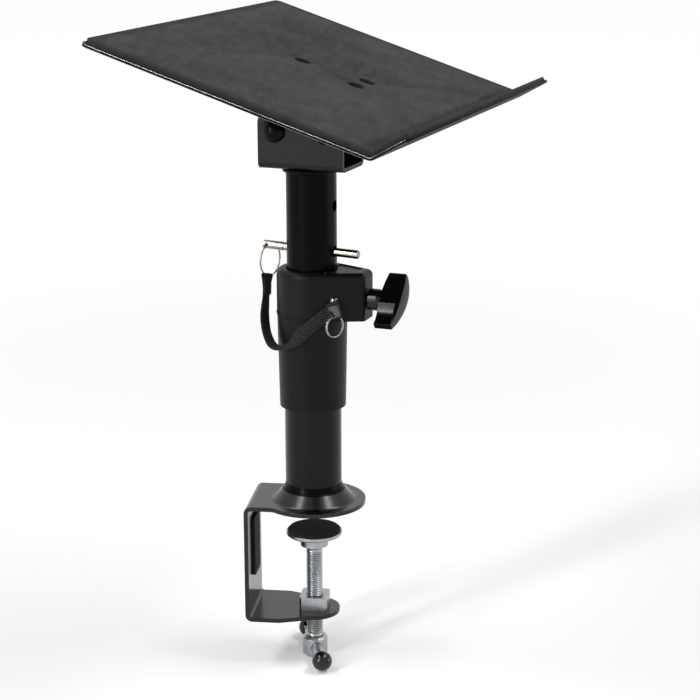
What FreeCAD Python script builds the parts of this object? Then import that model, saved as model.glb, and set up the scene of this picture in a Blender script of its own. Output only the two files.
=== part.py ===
import FreeCAD, Part
import math
import os
import re
import Sketcher
from FreeCAD import Placement, Rotation, Vector

# Height-adjustable tray stand that clamps to the edge of a desk.
# Frame: Z up, origin where the column's axis meets the desk top; X runs along the clamp from its leg to
# its nose. The collar is turned about the column by collar_turn, and the mast and tray by head_turn.
# Millimetres and degrees.

SIZES = {
    # Clamp: one bent steel strip with a drawn socket for the column
    "frame_sheet": 3.0,
    "frame_width": 54.0,
    "nose_radius": 37.0,
    "nose_fillet": 6.0,
    "leg_reach": 46.5,
    "leg_drop": 84.0,
    "bend_radius": 2.0,
    "arm_end_radius": 19.0,
    "arm_taper_start": 22.0,
    "cone_foot_radius": 29.6,
    "cone_top_radius": 20.9,
    "cone_height": 12.5,
    "cone_mouth_radius": 26.8,
    "cone_neck_start": 8.0,
    "cone_foot_fillet": 2.5,
    "leg_pad_width": 21.0,
    "leg_pad_height": 44.0,
    "leg_pad_top": 11.0,
    "leg_pad_thickness": 2.0,
    # Clamp screw, its foot and its cross bar
    "screw_radius": 6.0,
    "screw_fit": 0.15,
    "screw_head_radius": 9.0,
    "screw_head_height": 15.0,
    "screw_head_chamfer": 1.5,
    "screw_neck_radius": 4.8,
    "screw_button_height": 4.6,
    "nut_width": 20.0,
    "nut_height": 10.0,
    "bar_depth": 110.4,
    "bar_radius": 4.0,
    "bar_fit": 0.2,
    "bar_turn": -72.8,
    "ball_radius": 7.15,
    "ball_reach": 31.4,
    "jaw_gap": 20.0,
    "foot_pad_radius": 19.0,
    "foot_pad_thickness": 2.0,
    "foot_radius": 20.0,
    "foot_plate": 3.0,
    "foot_hub_radius": 10.0,
    "foot_hub_height": 8.0,
    "foot_lip": 1.8,
    # Column
    "head_turn": -14.5,
    "collar_turn": -13.2,
    "post_radius": 20.0,
    "post_wall": 2.0,
    "post_start": 0.5,
    "mast_radius": 17.5,
    "mast_wall": 1.5,
    "mast_start": 50.0,
    "press_fit": 0.05,
    "bush_fit": 0.1,
    "bush_flange": 8.0,
    "bush_plug": 18.0,
    "bush_bore_radius": 9.0,
    "pin_hole_radius": 4.0,
    "pin_hole_pitch": 31.75,
    "pin_hole_count": 6.0,
    "pin_height": 184.4,
    "pin_tilt": 1.9,
    # Collar with its clamping block
    "sleeve_start": 73.0,
    "sleeve_foot_radius": 23.3,
    "sleeve_top_radius": 24.5,
    "block_start": 138.5,
    "collar_top": 172.0,
    "collar_radius": 24.7,
    "collar_lip": 6.0,
    "mast_gap": 0.35,
    "block_taper": 22.8,
    "block_reach": 42.0,
    "block_corner": 3.0,
    "block_rim": 4.0,
    "block_wall": 2.5,
    "block_roof": 5.0,
    "panel_depth": 0.9,
    "panel_reach": 35.0,
    "panel_start": 15.0,
    "boss_radius": 9.5,
    # Clamping knob, its bolt, nut and brake shoe
    "knob_height": 152.3,
    "shoe_radius": 5.5,
    "shoe_fit": 0.2,
    "shoe_end": 26.0,
    "shoe_travel": 1.5,
    "bolt_radius": 4.0,
    "bolt_fit": 0.3,
    "bolt_nut_flats": 13.0,
    "bolt_nut_height": 6.5,
    "bolt_nut_fit": 0.2,
    "bolt_end": 56.0,
    "knob_neck_radius": 7.7,
    "knob_neck_start": 43.0,
    "knob_wing_start": 49.5,
    "knob_tip_start": 51.7,
    "knob_tip_end": 64.5,
    "knob_crown": 5.0,
    "knob_span_radius": 22.0,
    "knob_half_thickness": 6.2,
    "knob_tip_half_thickness": 1.7,
    "knob_heel_half_thickness": 3.4,
    "knob_lean": 52.3,
    "knob_edge_drop": 2.2,
    "knob_scoop_radius": 16.0,
    "knob_scoop_reach": 18.0,
    "knob_scoop_depth": 5.2,
    "knob_cap": 0.6,
    # Bracket welded on the mast
    "bracket_start": 242.2,
    "bracket_sheet": 3.0,
    "bracket_length": 62.0,
    "bracket_width": 39.4,
    "bracket_height": 40.0,
    "bracket_bend": 1.5,
    "bracket_corner": 9.0,
    "weld_size": 2.5,
    "pivot_along": -18.8,
    "pivot_rise": 26.6,
    "spare_hole_along": 17.0,
    "spare_hole_height": 264.4,
    "spare_hole_radius": 3.3,
    # Pivot bolt and its washers
    "pivot_radius": 4.0,
    "pivot_fit": 0.2,
    "pivot_head_radius": 8.1,
    "pivot_head_height": 5.2,
    "washer_radius": 8.0,
    "washer_thickness": 1.4,
    "disc_radius": 10.0,
    "disc_thickness": 0.8,
    "disc_gap": 0.1,
    "pivot_nut_flats": 13.0,
    "pivot_nut_height": 8.0,
    # Tray
    "tray_tilt": 17.6,
    "tray_rise": 44.25,
    "tray_sheet": 2.0,
    "tray_high_edge": 90.7,
    "tray_fold": 111.8,
    "tray_width": 300.0,
    "lip_angle": 47.0,
    "lip_height": 27.5,
    "tray_bend": 2.0,
    "tray_corner": 6.0,
    "lip_corner": 8.0,
    "hanger_sheet": 2.5,
    "hanger_end": 55.0,
    "hanger_lobe": 12.0,
    "hanger_toe": 7.0,
    "pad_thickness": 3.0,
    "pad_margin": 2.0,
    "pad_hole_radius": 5.8,
    "pad_corner": 5.0,
    "tray_screw_radius": 2.5,
    "tray_screw_fit": 0.25,
    "tray_screw_head_radius": 4.7,
    "tray_screw_head_height": 2.4,
    "tray_screw_length": 9.0,
    "tray_screw_high": -0.9,
    "tray_screw_low": 43.6,
    "tray_screw_spread": 10.5,
    # Safety pin, its split rings and the lanyard
    "pin_radius": 3.05,
    "pin_length": 71.7,
    "pin_offset": -0.75,
    "pin_chamfer": 0.8,
    "pin_groove_place": -21.0,
    "pin_groove_width": 1.2,
    "pin_groove_depth": 0.5,
    "ring_hole_radius": 1.9,
    "ring_hole_place": -33.2,
    "ring_wire_radius": 0.7,
    "pin_ring_radius": 11.6,
    "pin_ring_turn": 78.0,
    "pin_ring_swing": 12.0,
    "anchor_along": 14.5,
    "anchor_rise": 14.7,
    "anchor_shank_radius": 1.6,
    "anchor_shank_length": 6.0,
    "anchor_fit": 0.05,
    "anchor_head_radius": 3.0,
    "anchor_head_height": 1.9,
    "anchor_ring_radius": 7.4,
    "anchor_ring_wire": 0.95,
    "anchor_ring_out": 5.9,
    "anchor_ring_drop": 16.3,
    "anchor_ring_turn": 39.6,
    "strap_radius": 1.5,
}

# Lanyard route in the collar's frame, from the strap's end beside its screw to the pin's ring
STRAP_ROUTE = [
    (20.3, -20.2, 151.3),
    (17.2, -22.2, 147.6),
    (13.4, -23.8, 142.9),
    (8.7, -25.6, 137.9),
    (3.0, -27.1, 131.6),
    (-2.7, -27.4, 125.4),
    (-8.7, -26.8, 121.2),
    (-15.0, -24.9, 120.2),
    (-20.9, -21.9, 122.6),
    (-26.0, -18.2, 127.5),
    (-29.8, -13.3, 134.1),
    (-31.9, -8.2, 142.0),
    (-32.7, -4.3, 150.2),
    (-33.0, -1.7, 156.4),
    (-33.2, -0.1, 161.4),
]

doc = FreeCAD.newDocument("DeskClampTrayStand")
sheet = doc.addObject("Spreadsheet::Sheet", "Sizes")
for row, (alias, number) in enumerate(SIZES.items(), start=1):
    sheet.set(f"A{row}", alias)
    sheet.set(f"B{row}", str(number))
    sheet.setAlias(f"B{row}", alias)
doc.recompute()

PARTS = []


# ---------------------------------------------------------------- ways to draw with the sheet's words


def bind(text):
    """The expression that text stands for, with each of the sheet's words named in full."""
    return re.sub(r"\b[a-z_]{3,}\b", lambda word: f"Sizes.{word[0]}" if word[0] in SIZES else word[0], text)


def size(text):
    """The number that an expression in the sheet's words has now."""
    return float(sheet.evalExpression(bind(text)))


def new_body(label, place=None):
    body = doc.addObject("PartDesign::Body", label)
    body.Label = label
    if place is not None:
        body.Placement = place
    PARTS.append(body)
    return body


def sketch_on(body, role, lift="0", turn=0.0):
    """A sketch on one of the body's own origin planes, lifted along its normal and turned about its
    vertical."""
    sketch = body.newObject("Sketcher::SketchObject", f"{body.Label}_sketch")
    plane = next(feature for feature in body.Origin.OriginFeatures if feature.Role == role)
    sketch.AttachmentSupport = (plane, [""])
    sketch.MapMode = "FlatFace"
    turned = Rotation(Vector(0, 1, 0), turn)
    sketch.AttachmentOffset = Placement(turned.multVec(Vector(0, 0, size(lift))), turned)
    return sketch


def hold(sketch, kind, geometry, point, text):
    place = sketch.addConstraint(Sketcher.Constraint(kind, -1, 1, geometry, point, size(text)))
    sketch.setExpression(f"Constraints[{place}]", bind(text))


def outline(sketch, corners):
    """A closed outline. Each corner is (x, y), or (x, y, radius) where the side that leaves it is an arc
    that bulges to the right of its way, and radius is negative where it bulges to the left."""
    first = sketch.GeometryCount
    count = len(corners)
    points = [Vector(size(corner[0]), size(corner[1]), 0) for corner in corners]
    for index, corner in enumerate(corners):
        start = points[index]
        end = points[(index + 1) % count]
        if len(corner) == 2:
            sketch.addGeometry(Part.LineSegment(start, end), False)
        else:
            radius = size(corner[2])
            chord = end - start
            right = Vector(chord.y, -chord.x, 0).normalize()
            sag = abs(radius) - math.sqrt(radius ** 2 - (chord.Length / 2) ** 2)
            middle = (start + end) / 2 + right * math.copysign(sag, radius)
            sketch.addGeometry(Part.Arc(start, middle, end), False)
    for index, corner in enumerate(corners):
        geometry = first + index
        arc = len(corner) == 3
        swapped = arc and size(corner[2]) < 0
        begin = 2 if swapped else 1
        later = first + (index + 1) % count
        after = corners[(index + 1) % count]
        later_begin = 2 if len(after) == 3 and size(after[2]) < 0 else 1
        sketch.addConstraint(Sketcher.Constraint("Coincident", geometry, 3 - begin, later, later_begin))
        hold(sketch, "DistanceX", geometry, begin, corner[0])
        hold(sketch, "DistanceY", geometry, begin, corner[1])
        if arc:
            place = sketch.addConstraint(Sketcher.Constraint("Radius", geometry, abs(size(corner[2]))))
            sketch.setExpression(f"Constraints[{place}]", bind(f"abs({corner[2]})"))
    return sketch


def rectangle(sketch, left, bottom, right, top):
    return outline(sketch, [(left, bottom), (right, bottom), (right, top), (left, top)])


def circle(sketch, across, up, radius):
    centre = Vector(size(across), size(up), 0)
    geometry = sketch.addGeometry(Part.Circle(centre, Vector(0, 0, 1), size(radius)), False)
    hold(sketch, "DistanceX", geometry, 3, across)
    hold(sketch, "DistanceY", geometry, 3, up)
    place = sketch.addConstraint(Sketcher.Constraint("Radius", geometry, size(radius)))
    sketch.setExpression(f"Constraints[{place}]", bind(radius))
    return sketch


def hexagon(sketch, across, up, flats):
    """A hexagon about (across, up), with two of its corners above and below its centre."""
    corners = []
    for turn in range(0, 360, 60):
        x = f"{across} + ({flats}) / sqrt(3) * sin({turn})"
        y = f"{up} + ({flats}) / sqrt(3) * cos({turn})"
        corners.append((x, y))
    return outline(sketch, corners)


def pad(body, sketch, length, symmetric=False, reverse=False):
    doc.recompute()
    feature = body.newObject("PartDesign::Pad", f"{body.Label}_pad")
    feature.Profile = sketch
    feature.setExpression("Length", bind(length))
    feature.Reversed = reverse
    if symmetric:
        feature.SideType = "Symmetric"
    sketch.Visibility = False
    doc.recompute()
    return feature


def cut(body, sketch, length, symmetric=False, reverse=False):
    """A pocket of that length, towards the sketch's back, or towards its front where reversed."""
    doc.recompute()
    before = body.Shape.Volume
    feature = body.newObject("PartDesign::Pocket", f"{body.Label}_pocket")
    feature.Profile = sketch
    feature.setExpression("Length", bind(length))
    feature.Reversed = reverse
    if symmetric:
        feature.SideType = "Symmetric"
    doc.recompute()
    if body.Shape.Volume >= before:
        raise RuntimeError(f"a pocket in {body.Label} cuts nothing")
    return feature


def lathe(body, corners, take_away=False):
    """Turns an outline of (radius, height) corners about the body's Z axis."""
    sketch = outline(sketch_on(body, "XZ_Plane"), corners)
    doc.recompute()
    before = body.Shape.Volume if take_away else 0.0
    kind = "Groove" if take_away else "Revolution"
    feature = body.newObject(f"PartDesign::{kind}", f"{body.Label}_turned")
    feature.Profile = sketch
    feature.ReferenceAxis = (sketch, ["V_Axis"])
    feature.Angle = 360
    doc.recompute()
    if take_away and body.Shape.Volume >= before:
        raise RuntimeError(f"a groove in {body.Label} cuts nothing")
    return feature


def soften(body, radius, wanted, kind="Fillet"):
    """Rounds or chamfers the edges of the body's last feature that wanted(edge) picks."""
    last = body.Tip
    names = [f"Edge{number}" for number, edge in enumerate(last.Shape.Edges, start=1) if wanted(edge)]
    if not names:
        raise RuntimeError(f"no edge of {body.Label} is picked")
    feature = body.newObject(f"PartDesign::{kind}", f"{body.Label}_edges")
    feature.Base = (last, names)
    feature.setExpression("Radius" if kind == "Fillet" else "Size", bind(radius))
    doc.recompute()
    return feature


def middle_of(edge):
    return edge.valueAt((edge.FirstParameter + edge.LastParameter) / 2)


def runs_along(edge, axis):
    """True where the edge is a straight one in that direction."""
    if edge.Curve.TypeId != "Part::GeomLine":
        return False
    return abs(edge.tangentAt(edge.FirstParameter).dot(axis)) > 0.999


def near(one, other):
    return abs(one - other) < 0.01


def rim(height, radius):
    """Picks the circle of that radius at that height about Z."""

    def wanted(edge):
        if edge.Curve.TypeId != "Part::GeomCircle":
            return False
        about_axis = math.hypot(edge.Curve.Center.x, edge.Curve.Center.y) < 0.01
        return about_axis and near(edge.Curve.Center.z, size(height)) and near(edge.Curve.Radius, size(radius))

    return wanted


def group(label, solids, place=None):
    """One node for separate solids that are alike."""
    feature = doc.addObject("Part::Feature", label)
    feature.Label = label
    feature.Shape = Part.makeCompound(solids) if len(solids) > 1 else solids[0]
    if place is not None:
        feature.Placement = place
    PARTS.append(feature)
    return feature


X = Vector(1, 0, 0)
Y = Vector(0, 1, 0)
Z = Vector(0, 0, 1)

# Turned frames of the collar and of the mast, the tray's tilted frame and the pivot bolt's frame
COLLAR = Placement(Vector(0, 0, 0), Rotation(Z, size("collar_turn")))
HEAD = Placement(Vector(0, 0, 0), Rotation(Z, size("head_turn")))
TRAY = HEAD * Placement(Vector(size("pivot_along"), 0, size("bracket_start + pivot_rise")), Rotation(Y, size("tray_tilt")))
PIVOT = HEAD * Placement(Vector(size("pivot_along"), 0, size("bracket_start + pivot_rise")), Rotation(X, -90))


# ---------------------------------------------------------------- clamp frame


def clamp_frame():
    """Bent steel strip: round-nosed top plate with a drawn socket, leg, and tapered lower arm."""
    body = new_body("clamp_frame")
    top = rectangle(sketch_on(body, "XY_Plane"), "-leg_reach", "-frame_width / 2", "0", "frame_width / 2")
    pad(body, top, "frame_sheet")
    nose = circle(sketch_on(body, "XY_Plane"), "0", "0", "nose_radius")
    pad(body, nose, "frame_sheet")
    leg = sketch_on(body, "XY_Plane")
    rectangle(leg, "-leg_reach", "-frame_width / 2", "-leg_reach + frame_sheet", "frame_width / 2")
    pad(body, leg, "leg_drop", reverse=True)
    arm = sketch_on(body, "XY_Plane", lift="-leg_drop")
    outline(arm, [
        ("-leg_reach", "-frame_width / 2"),
        ("-arm_taper_start", "-frame_width / 2"),
        ("0", "-arm_end_radius", "arm_end_radius * 1.001"),
        ("0", "arm_end_radius"),
        ("-arm_taper_start", "frame_width / 2"),
        ("-leg_reach", "frame_width / 2"),
    ])
    pad(body, arm, "frame_sheet")
    screw_hole = circle(sketch_on(body, "XY_Plane", lift="-leg_drop"), "0", "0", "screw_radius + screw_fit * 2")
    cut(body, screw_hole, "frame_sheet", reverse=True)

    side = size("leg_reach")
    wall = size("frame_sheet")
    low = -size("leg_drop")

    def outer_bend(edge):
        place = middle_of(edge)
        return runs_along(edge, Y) and near(place.x, -side) and (near(place.z, wall) or near(place.z, low))

    def inner_bend(edge):
        place = middle_of(edge)
        heights = near(place.z, 0) or near(place.z, low + wall)
        return runs_along(edge, Y) and near(place.x, wall - side) and heights

    def nose_joint(edge):
        place = middle_of(edge)
        beside = near(abs(place.y), size("frame_width / 2")) and place.x > -size("nose_radius")
        return runs_along(edge, Z) and beside and place.z > 0

    soften(body, "bend_radius + frame_sheet", outer_bend)
    soften(body, "bend_radius", inner_bend)
    soften(body, "nose_fillet", nose_joint)
    lathe(body, [
        ("post_radius + press_fit", "0"),
        ("cone_foot_radius", "0"),
        ("cone_foot_radius", "frame_sheet"),
        ("cone_top_radius", "cone_height"),
        ("post_radius + press_fit", "cone_height"),
    ])
    lathe(body, [
        ("0", "-1"),
        ("cone_mouth_radius", "-1"),
        ("cone_mouth_radius", "0"),
        ("post_radius + press_fit", "cone_neck_start"),
        ("post_radius + press_fit", "cone_height + 1"),
        ("0", "cone_height + 1"),
    ], take_away=True)
    soften(body, "cone_foot_fillet", rim("frame_sheet", "cone_foot_radius"))


def leg_pad():
    """Soft strip glued inside the leg, where the desk's edge would touch it."""
    body = new_body("leg_pad")
    strip = sketch_on(body, "YZ_Plane", lift="-leg_reach + frame_sheet")
    bottom = "-leg_pad_top - leg_pad_height"
    rectangle(strip, "-leg_pad_width / 2", bottom, "leg_pad_width / 2", "-leg_pad_top")
    pad(body, strip, "leg_pad_thickness")
    soften(body, "leg_pad_thickness", lambda edge: runs_along(edge, X))


def jaw_nut():
    """Square nut welded on the lower arm."""
    body = new_body("jaw_nut")
    plan = sketch_on(body, "XY_Plane", lift="-leg_drop + frame_sheet")
    rectangle(plan, "-nut_width / 2", "-nut_width / 2", "nut_width / 2", "nut_width / 2")
    pad(body, plan, "nut_height")
    soften(body, "screw_fit * 10", lambda edge: runs_along(edge, Z), kind="Chamfer")
    bore = circle(sketch_on(body, "XY_Plane", lift="-leg_drop + frame_sheet"), "0", "0", "screw_radius + screw_fit")
    cut(body, bore, "nut_height", reverse=True)


# ---------------------------------------------------------------- clamp screw, foot and cross bar

BAR = Placement(Vector(0, 0, 0), Rotation(Z, size("bar_turn")))
SOCKET_ROOF = "-jaw_gap - foot_pad_thickness - foot_plate - 1"
HUB_END = "-jaw_gap - foot_pad_thickness - foot_plate - foot_hub_height"
BUTTON_TOP = f"({SOCKET_ROOF} - bar_fit)"
BUTTON_END = f"({BUTTON_TOP} - screw_button_height)"
HEAD_TOP = "(-bar_depth + screw_head_height / 2)"
HEAD_END = "(-bar_depth - screw_head_height / 2)"


def clamp_screw():
    """Turned screw: a button that the foot swivels on, the threaded shank, and a bored head."""
    body = new_body("clamp_screw", BAR)
    lathe(body, [
        ("0", BUTTON_TOP),
        ("screw_radius - bar_fit", BUTTON_TOP),
        ("screw_radius - bar_fit", BUTTON_END),
        ("screw_neck_radius", BUTTON_END),
        ("screw_neck_radius", f"{HUB_END} - 1"),
        ("screw_radius", f"{HUB_END} - 1 - screw_radius + screw_neck_radius"),
        ("screw_radius", HEAD_TOP),
        ("screw_head_radius - screw_head_chamfer", HEAD_TOP),
        ("screw_head_radius", f"{HEAD_TOP} - screw_head_chamfer"),
        ("screw_head_radius", f"{HEAD_END} + screw_head_chamfer"),
        ("screw_head_radius - screw_head_chamfer", HEAD_END),
        ("0", HEAD_END),
    ])
    bore = circle(sketch_on(body, "YZ_Plane"), "0", "-bar_depth", "bar_radius + bar_fit")
    cut(body, bore, "screw_head_radius * 2", symmetric=True)


def tommy_bar():
    """Round bar that slides through the screw's head."""
    body = new_body("tommy_bar", BAR)
    section = circle(sketch_on(body, "YZ_Plane"), "0", "-bar_depth", "bar_radius")
    pad(body, section, "ball_reach * 2", symmetric=True)


def bar_balls():
    """Two bored balls pressed on the bar's ends."""
    for label, side in (("bar_ball_near", 1), ("bar_ball_far", -1)):
        ball = doc.addObject("Part::Sphere", f"{label}_ball")
        ball.setExpression("Radius", bind("ball_radius"))
        bore = doc.addObject("Part::Cylinder", f"{label}_bore")
        bore.setExpression("Radius", bind("bar_radius"))
        bore.setExpression("Height", bind("ball_radius * 2"))
        bore.Placement = Placement(Vector(0, 0, 0), Rotation(Y, -90 * side))
        bored = doc.addObject("Part::Cut", label)
        bored.Label = label
        bored.Base = ball
        bored.Tool = bore
        bored.Placement = BAR * Placement(Vector(side * size("ball_reach"), 0, -size("bar_depth")), Rotation())
        doc.recompute()
        PARTS.append(bored)


def foot():
    """Swivelling pressure plate with the rubber disc that meets the desk's underside."""
    plate = new_body("foot_plate")
    plate_top = "-jaw_gap - foot_pad_thickness"
    plate_end = f"({plate_top} - foot_plate)"
    lathe(plate, [
        ("0", plate_top),
        ("foot_radius", plate_top),
        ("foot_radius", f"{plate_end} + 1"),
        ("foot_radius - 1", plate_end),
        ("foot_hub_radius", plate_end),
        ("foot_hub_radius", HUB_END),
        ("screw_neck_radius + bar_fit * 2", HUB_END),
        ("screw_neck_radius + bar_fit * 2", f"{HUB_END} + foot_lip"),
        ("screw_radius + bar_fit", f"{HUB_END} + foot_lip"),
        ("screw_radius + bar_fit", SOCKET_ROOF),
        ("0", SOCKET_ROOF),
    ])
    disc = new_body("foot_pad")
    lathe(disc, [
        ("0", plate_top),
        ("foot_pad_radius", plate_top),
        ("foot_pad_radius", "-jaw_gap - foot_pad_thickness / 2"),
        ("foot_pad_radius - foot_pad_thickness / 2", "-jaw_gap"),
        ("0", "-jaw_gap"),
    ])


# ---------------------------------------------------------------- post, mast and guide bush

POST_BORE = "(post_radius - post_wall)"
MAST_BORE = "(mast_radius - mast_wall)"
POST_END = "(collar_top - collar_lip)"


def lower_tube():
    """Outer tube, welded in the frame's drawn socket, with a window for the brake shoe."""
    body = new_body("lower_tube", COLLAR)
    ring = sketch_on(body, "XY_Plane", lift="post_start")
    circle(ring, "0", "0", "post_radius")
    circle(ring, "0", "0", POST_BORE)
    pad(body, ring, f"{POST_END} - post_start")
    window = circle(sketch_on(body, "YZ_Plane"), "0", "knob_height", "shoe_radius + shoe_fit * 2")
    cut(body, window, "post_radius * 2", reverse=True)


def mast_bush():
    """Plastic plug in the mast's foot, whose flange runs in the lower tube's bore."""
    body = new_body("mast_bush", HEAD)
    flange_start = "mast_start - bush_flange"
    lathe(body, [
        ("bush_bore_radius", flange_start),
        (f"{POST_BORE} - bush_fit - 1", flange_start),
        (f"{POST_BORE} - bush_fit", f"{flange_start} + 1"),
        (f"{POST_BORE} - bush_fit", "mast_start"),
        (f"{MAST_BORE} - bush_fit", "mast_start"),
        (f"{MAST_BORE} - bush_fit", "mast_start + bush_plug - 1"),
        (f"{MAST_BORE} - bush_fit - 1", "mast_start + bush_plug"),
        ("bush_bore_radius", "mast_start + bush_plug"),
    ])


def upper_tube():
    """Sliding tube with a row of cross holes for the safety pin."""
    body = new_body("upper_tube", HEAD)
    ring = sketch_on(body, "XY_Plane", lift="mast_start")
    circle(ring, "0", "0", "mast_radius")
    circle(ring, "0", "0", MAST_BORE)
    pad(body, ring, "bracket_start - mast_start")
    top_hole = "pin_height + pin_hole_pitch"
    for number in range(int(size("pin_hole_count"))):
        height = f"{top_hole} - pin_hole_pitch * {number}"
        hole = circle(sketch_on(body, "YZ_Plane"), "0", height, "pin_hole_radius")
        cut(body, hole, "mast_radius * 2 + 2", symmetric=True)


def bracket_weld():
    """Bead of weld between the mast and the bracket's underside."""
    body = new_body("bracket_weld", HEAD)
    lathe(body, [
        ("mast_radius", "bracket_start - weld_size", "-weld_size * 1.6"),
        ("mast_radius + weld_size", "bracket_start"),
        ("mast_radius", "bracket_start"),
    ])


# ---------------------------------------------------------------- collar housing


def collar_housing():
    """Moulded collar: tapered sleeve below, and a teardrop block above that carries the knob's nut.

    The block is cored from below to an even wall, with a round boss along the bolt, and its roof has a
    sunk panel inside a raised rim."""
    body = new_body("collar_housing", COLLAR)
    lathe(body, [
        ("post_radius + press_fit", "sleeve_start"),
        ("sleeve_foot_radius", "sleeve_start"),
        ("sleeve_top_radius", "block_start"),
        ("post_radius + press_fit", "block_start"),
    ])
    barrel = circle(sketch_on(body, "XY_Plane", lift="block_start"), "0", "0", "collar_radius")
    pad(body, barrel, "collar_top - block_start")

    def teardrop(inset, reach, start):
        """Tapered plan of the block, inset from its face, from x = start to x = reach."""
        touch = f"(collar_radius - {inset})"

        def half(x):
            return f"({touch} - ({x}) * sin(block_taper)) / cos(block_taper)"

        return [(start, f"-{half(start)}"), (reach, f"-{half(reach)}"), (reach, half(reach)), (start, half(start))]

    tangent = "collar_radius * sin(block_taper)"
    block = outline(sketch_on(body, "XY_Plane", lift="block_start"), teardrop("0", "block_reach", tangent))
    pad(body, block, "collar_top - block_start")
    soften(body, "block_corner", lambda edge: runs_along(edge, Z) and near(middle_of(edge).x, size("block_reach")))

    def upper_edges(edge):
        place = middle_of(edge)
        return near(place.z, size("collar_top")) and place.Length > size("collar_top")

    soften(body, "block_rim", upper_edges)
    core = sketch_on(body, "XY_Plane", lift="block_start")
    outline(core, teardrop("block_wall", "block_reach - block_wall", "post_radius * 0.6"))
    cut(body, core, "collar_top - block_roof - block_start", reverse=True)
    wall_ring = sketch_on(body, "XY_Plane", lift="block_start")
    circle(wall_ring, "0", "0", "post_radius + block_wall")
    pad(body, wall_ring, "collar_top - block_roof - block_start + 1")
    boss = circle(sketch_on(body, "YZ_Plane", lift="mast_radius"), "0", "knob_height", "boss_radius")
    pad(body, boss, "block_reach - mast_radius - 1")
    panel = outline(
        sketch_on(body, "XY_Plane", lift="collar_top - panel_depth"),
        teardrop("block_wall * 1.6", "panel_reach", "panel_start"),
    )
    cut(body, panel, "panel_depth", reverse=True)
    lathe(body, [
        ("0", "sleeve_start - 1"),
        ("post_radius + press_fit", "sleeve_start - 1"),
        ("post_radius + press_fit", POST_END),
        ("mast_radius + mast_gap", POST_END),
        ("mast_radius + mast_gap", "collar_top - 1"),
        ("mast_radius + mast_gap + 1", "collar_top"),
        ("mast_radius + mast_gap + 1", "collar_top + 1"),
        ("0", "collar_top + 1"),
    ], take_away=True)
    shoe_bore = circle(sketch_on(body, "YZ_Plane"), "0", "knob_height", "shoe_radius + shoe_fit")
    cut(body, shoe_bore, "shoe_end + shoe_travel + shoe_fit", reverse=True)
    nut_seat = sketch_on(body, "YZ_Plane", lift="shoe_end + shoe_travel + shoe_fit")
    hexagon(nut_seat, "0", "knob_height", "bolt_nut_flats + bolt_nut_fit")
    cut(body, nut_seat, "bolt_nut_height + bolt_nut_fit", reverse=True)
    nut_reach = "shoe_end + shoe_travel + shoe_fit + bolt_nut_height"
    bolt_bore = circle(sketch_on(body, "YZ_Plane", lift=nut_reach), "0", "knob_height", "bolt_radius + bolt_fit")
    cut(body, bolt_bore, "block_reach", reverse=True)
    anchor = sketch_on(body, "XZ_Plane", lift="collar_radius + 1", turn=size("block_taper"))
    circle(anchor, "anchor_along", "block_start + anchor_rise", "anchor_shank_radius + anchor_fit")
    cut(body, anchor, "anchor_shank_length + 2")


# ---------------------------------------------------------------- brake shoe, nut, bolt and wing knob


def brake_shoe():
    """Nylon slug, hollowed to the mast, that the bolt presses home."""
    body = new_body("brake_shoe", COLLAR)
    slug = circle(sketch_on(body, "YZ_Plane"), "0", "knob_height", "shoe_radius")
    pad(body, slug, "shoe_end")
    lathe(body, [
        ("0", "knob_height - shoe_radius - 1"),
        ("mast_radius + press_fit", "knob_height - shoe_radius - 1"),
        ("mast_radius + press_fit", "knob_height + shoe_radius + 1"),
        ("0", "knob_height + shoe_radius + 1"),
    ], take_away=True)


def housing_nut():
    """Hexagon nut held in the block's boss."""
    body = new_body("housing_nut", COLLAR)
    start = "shoe_end + shoe_travel + shoe_fit + bolt_nut_fit / 2"
    plan = hexagon(sketch_on(body, "YZ_Plane", lift=start), "0", "knob_height", "bolt_nut_flats")
    pad(body, plan, "bolt_nut_height")
    bore = circle(sketch_on(body, "YZ_Plane", lift=start), "0", "knob_height", "bolt_radius + bolt_fit / 2")
    cut(body, bore, "bolt_nut_height", reverse=True)


def knob_frame():
    """Frame of the knob: Z out along the bolt, X along the wings."""
    lean = math.radians(size("knob_lean"))
    wing = Vector(0, math.sin(lean), math.cos(lean))
    across = Vector(0, -math.cos(lean), math.sin(lean))
    return COLLAR * Placement(Vector(0, 0, size("knob_height")), Rotation(wing, across, X, "ZXY"))


def knob_bolt():
    """Threaded rod moulded into the knob, whose tip bears on the shoe."""
    body = new_body("knob_bolt", knob_frame())
    rod = circle(sketch_on(body, "XY_Plane", lift="shoe_end + press_fit"), "0", "0", "bolt_radius")
    pad(body, rod, "bolt_end - shoe_end - press_fit")


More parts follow.
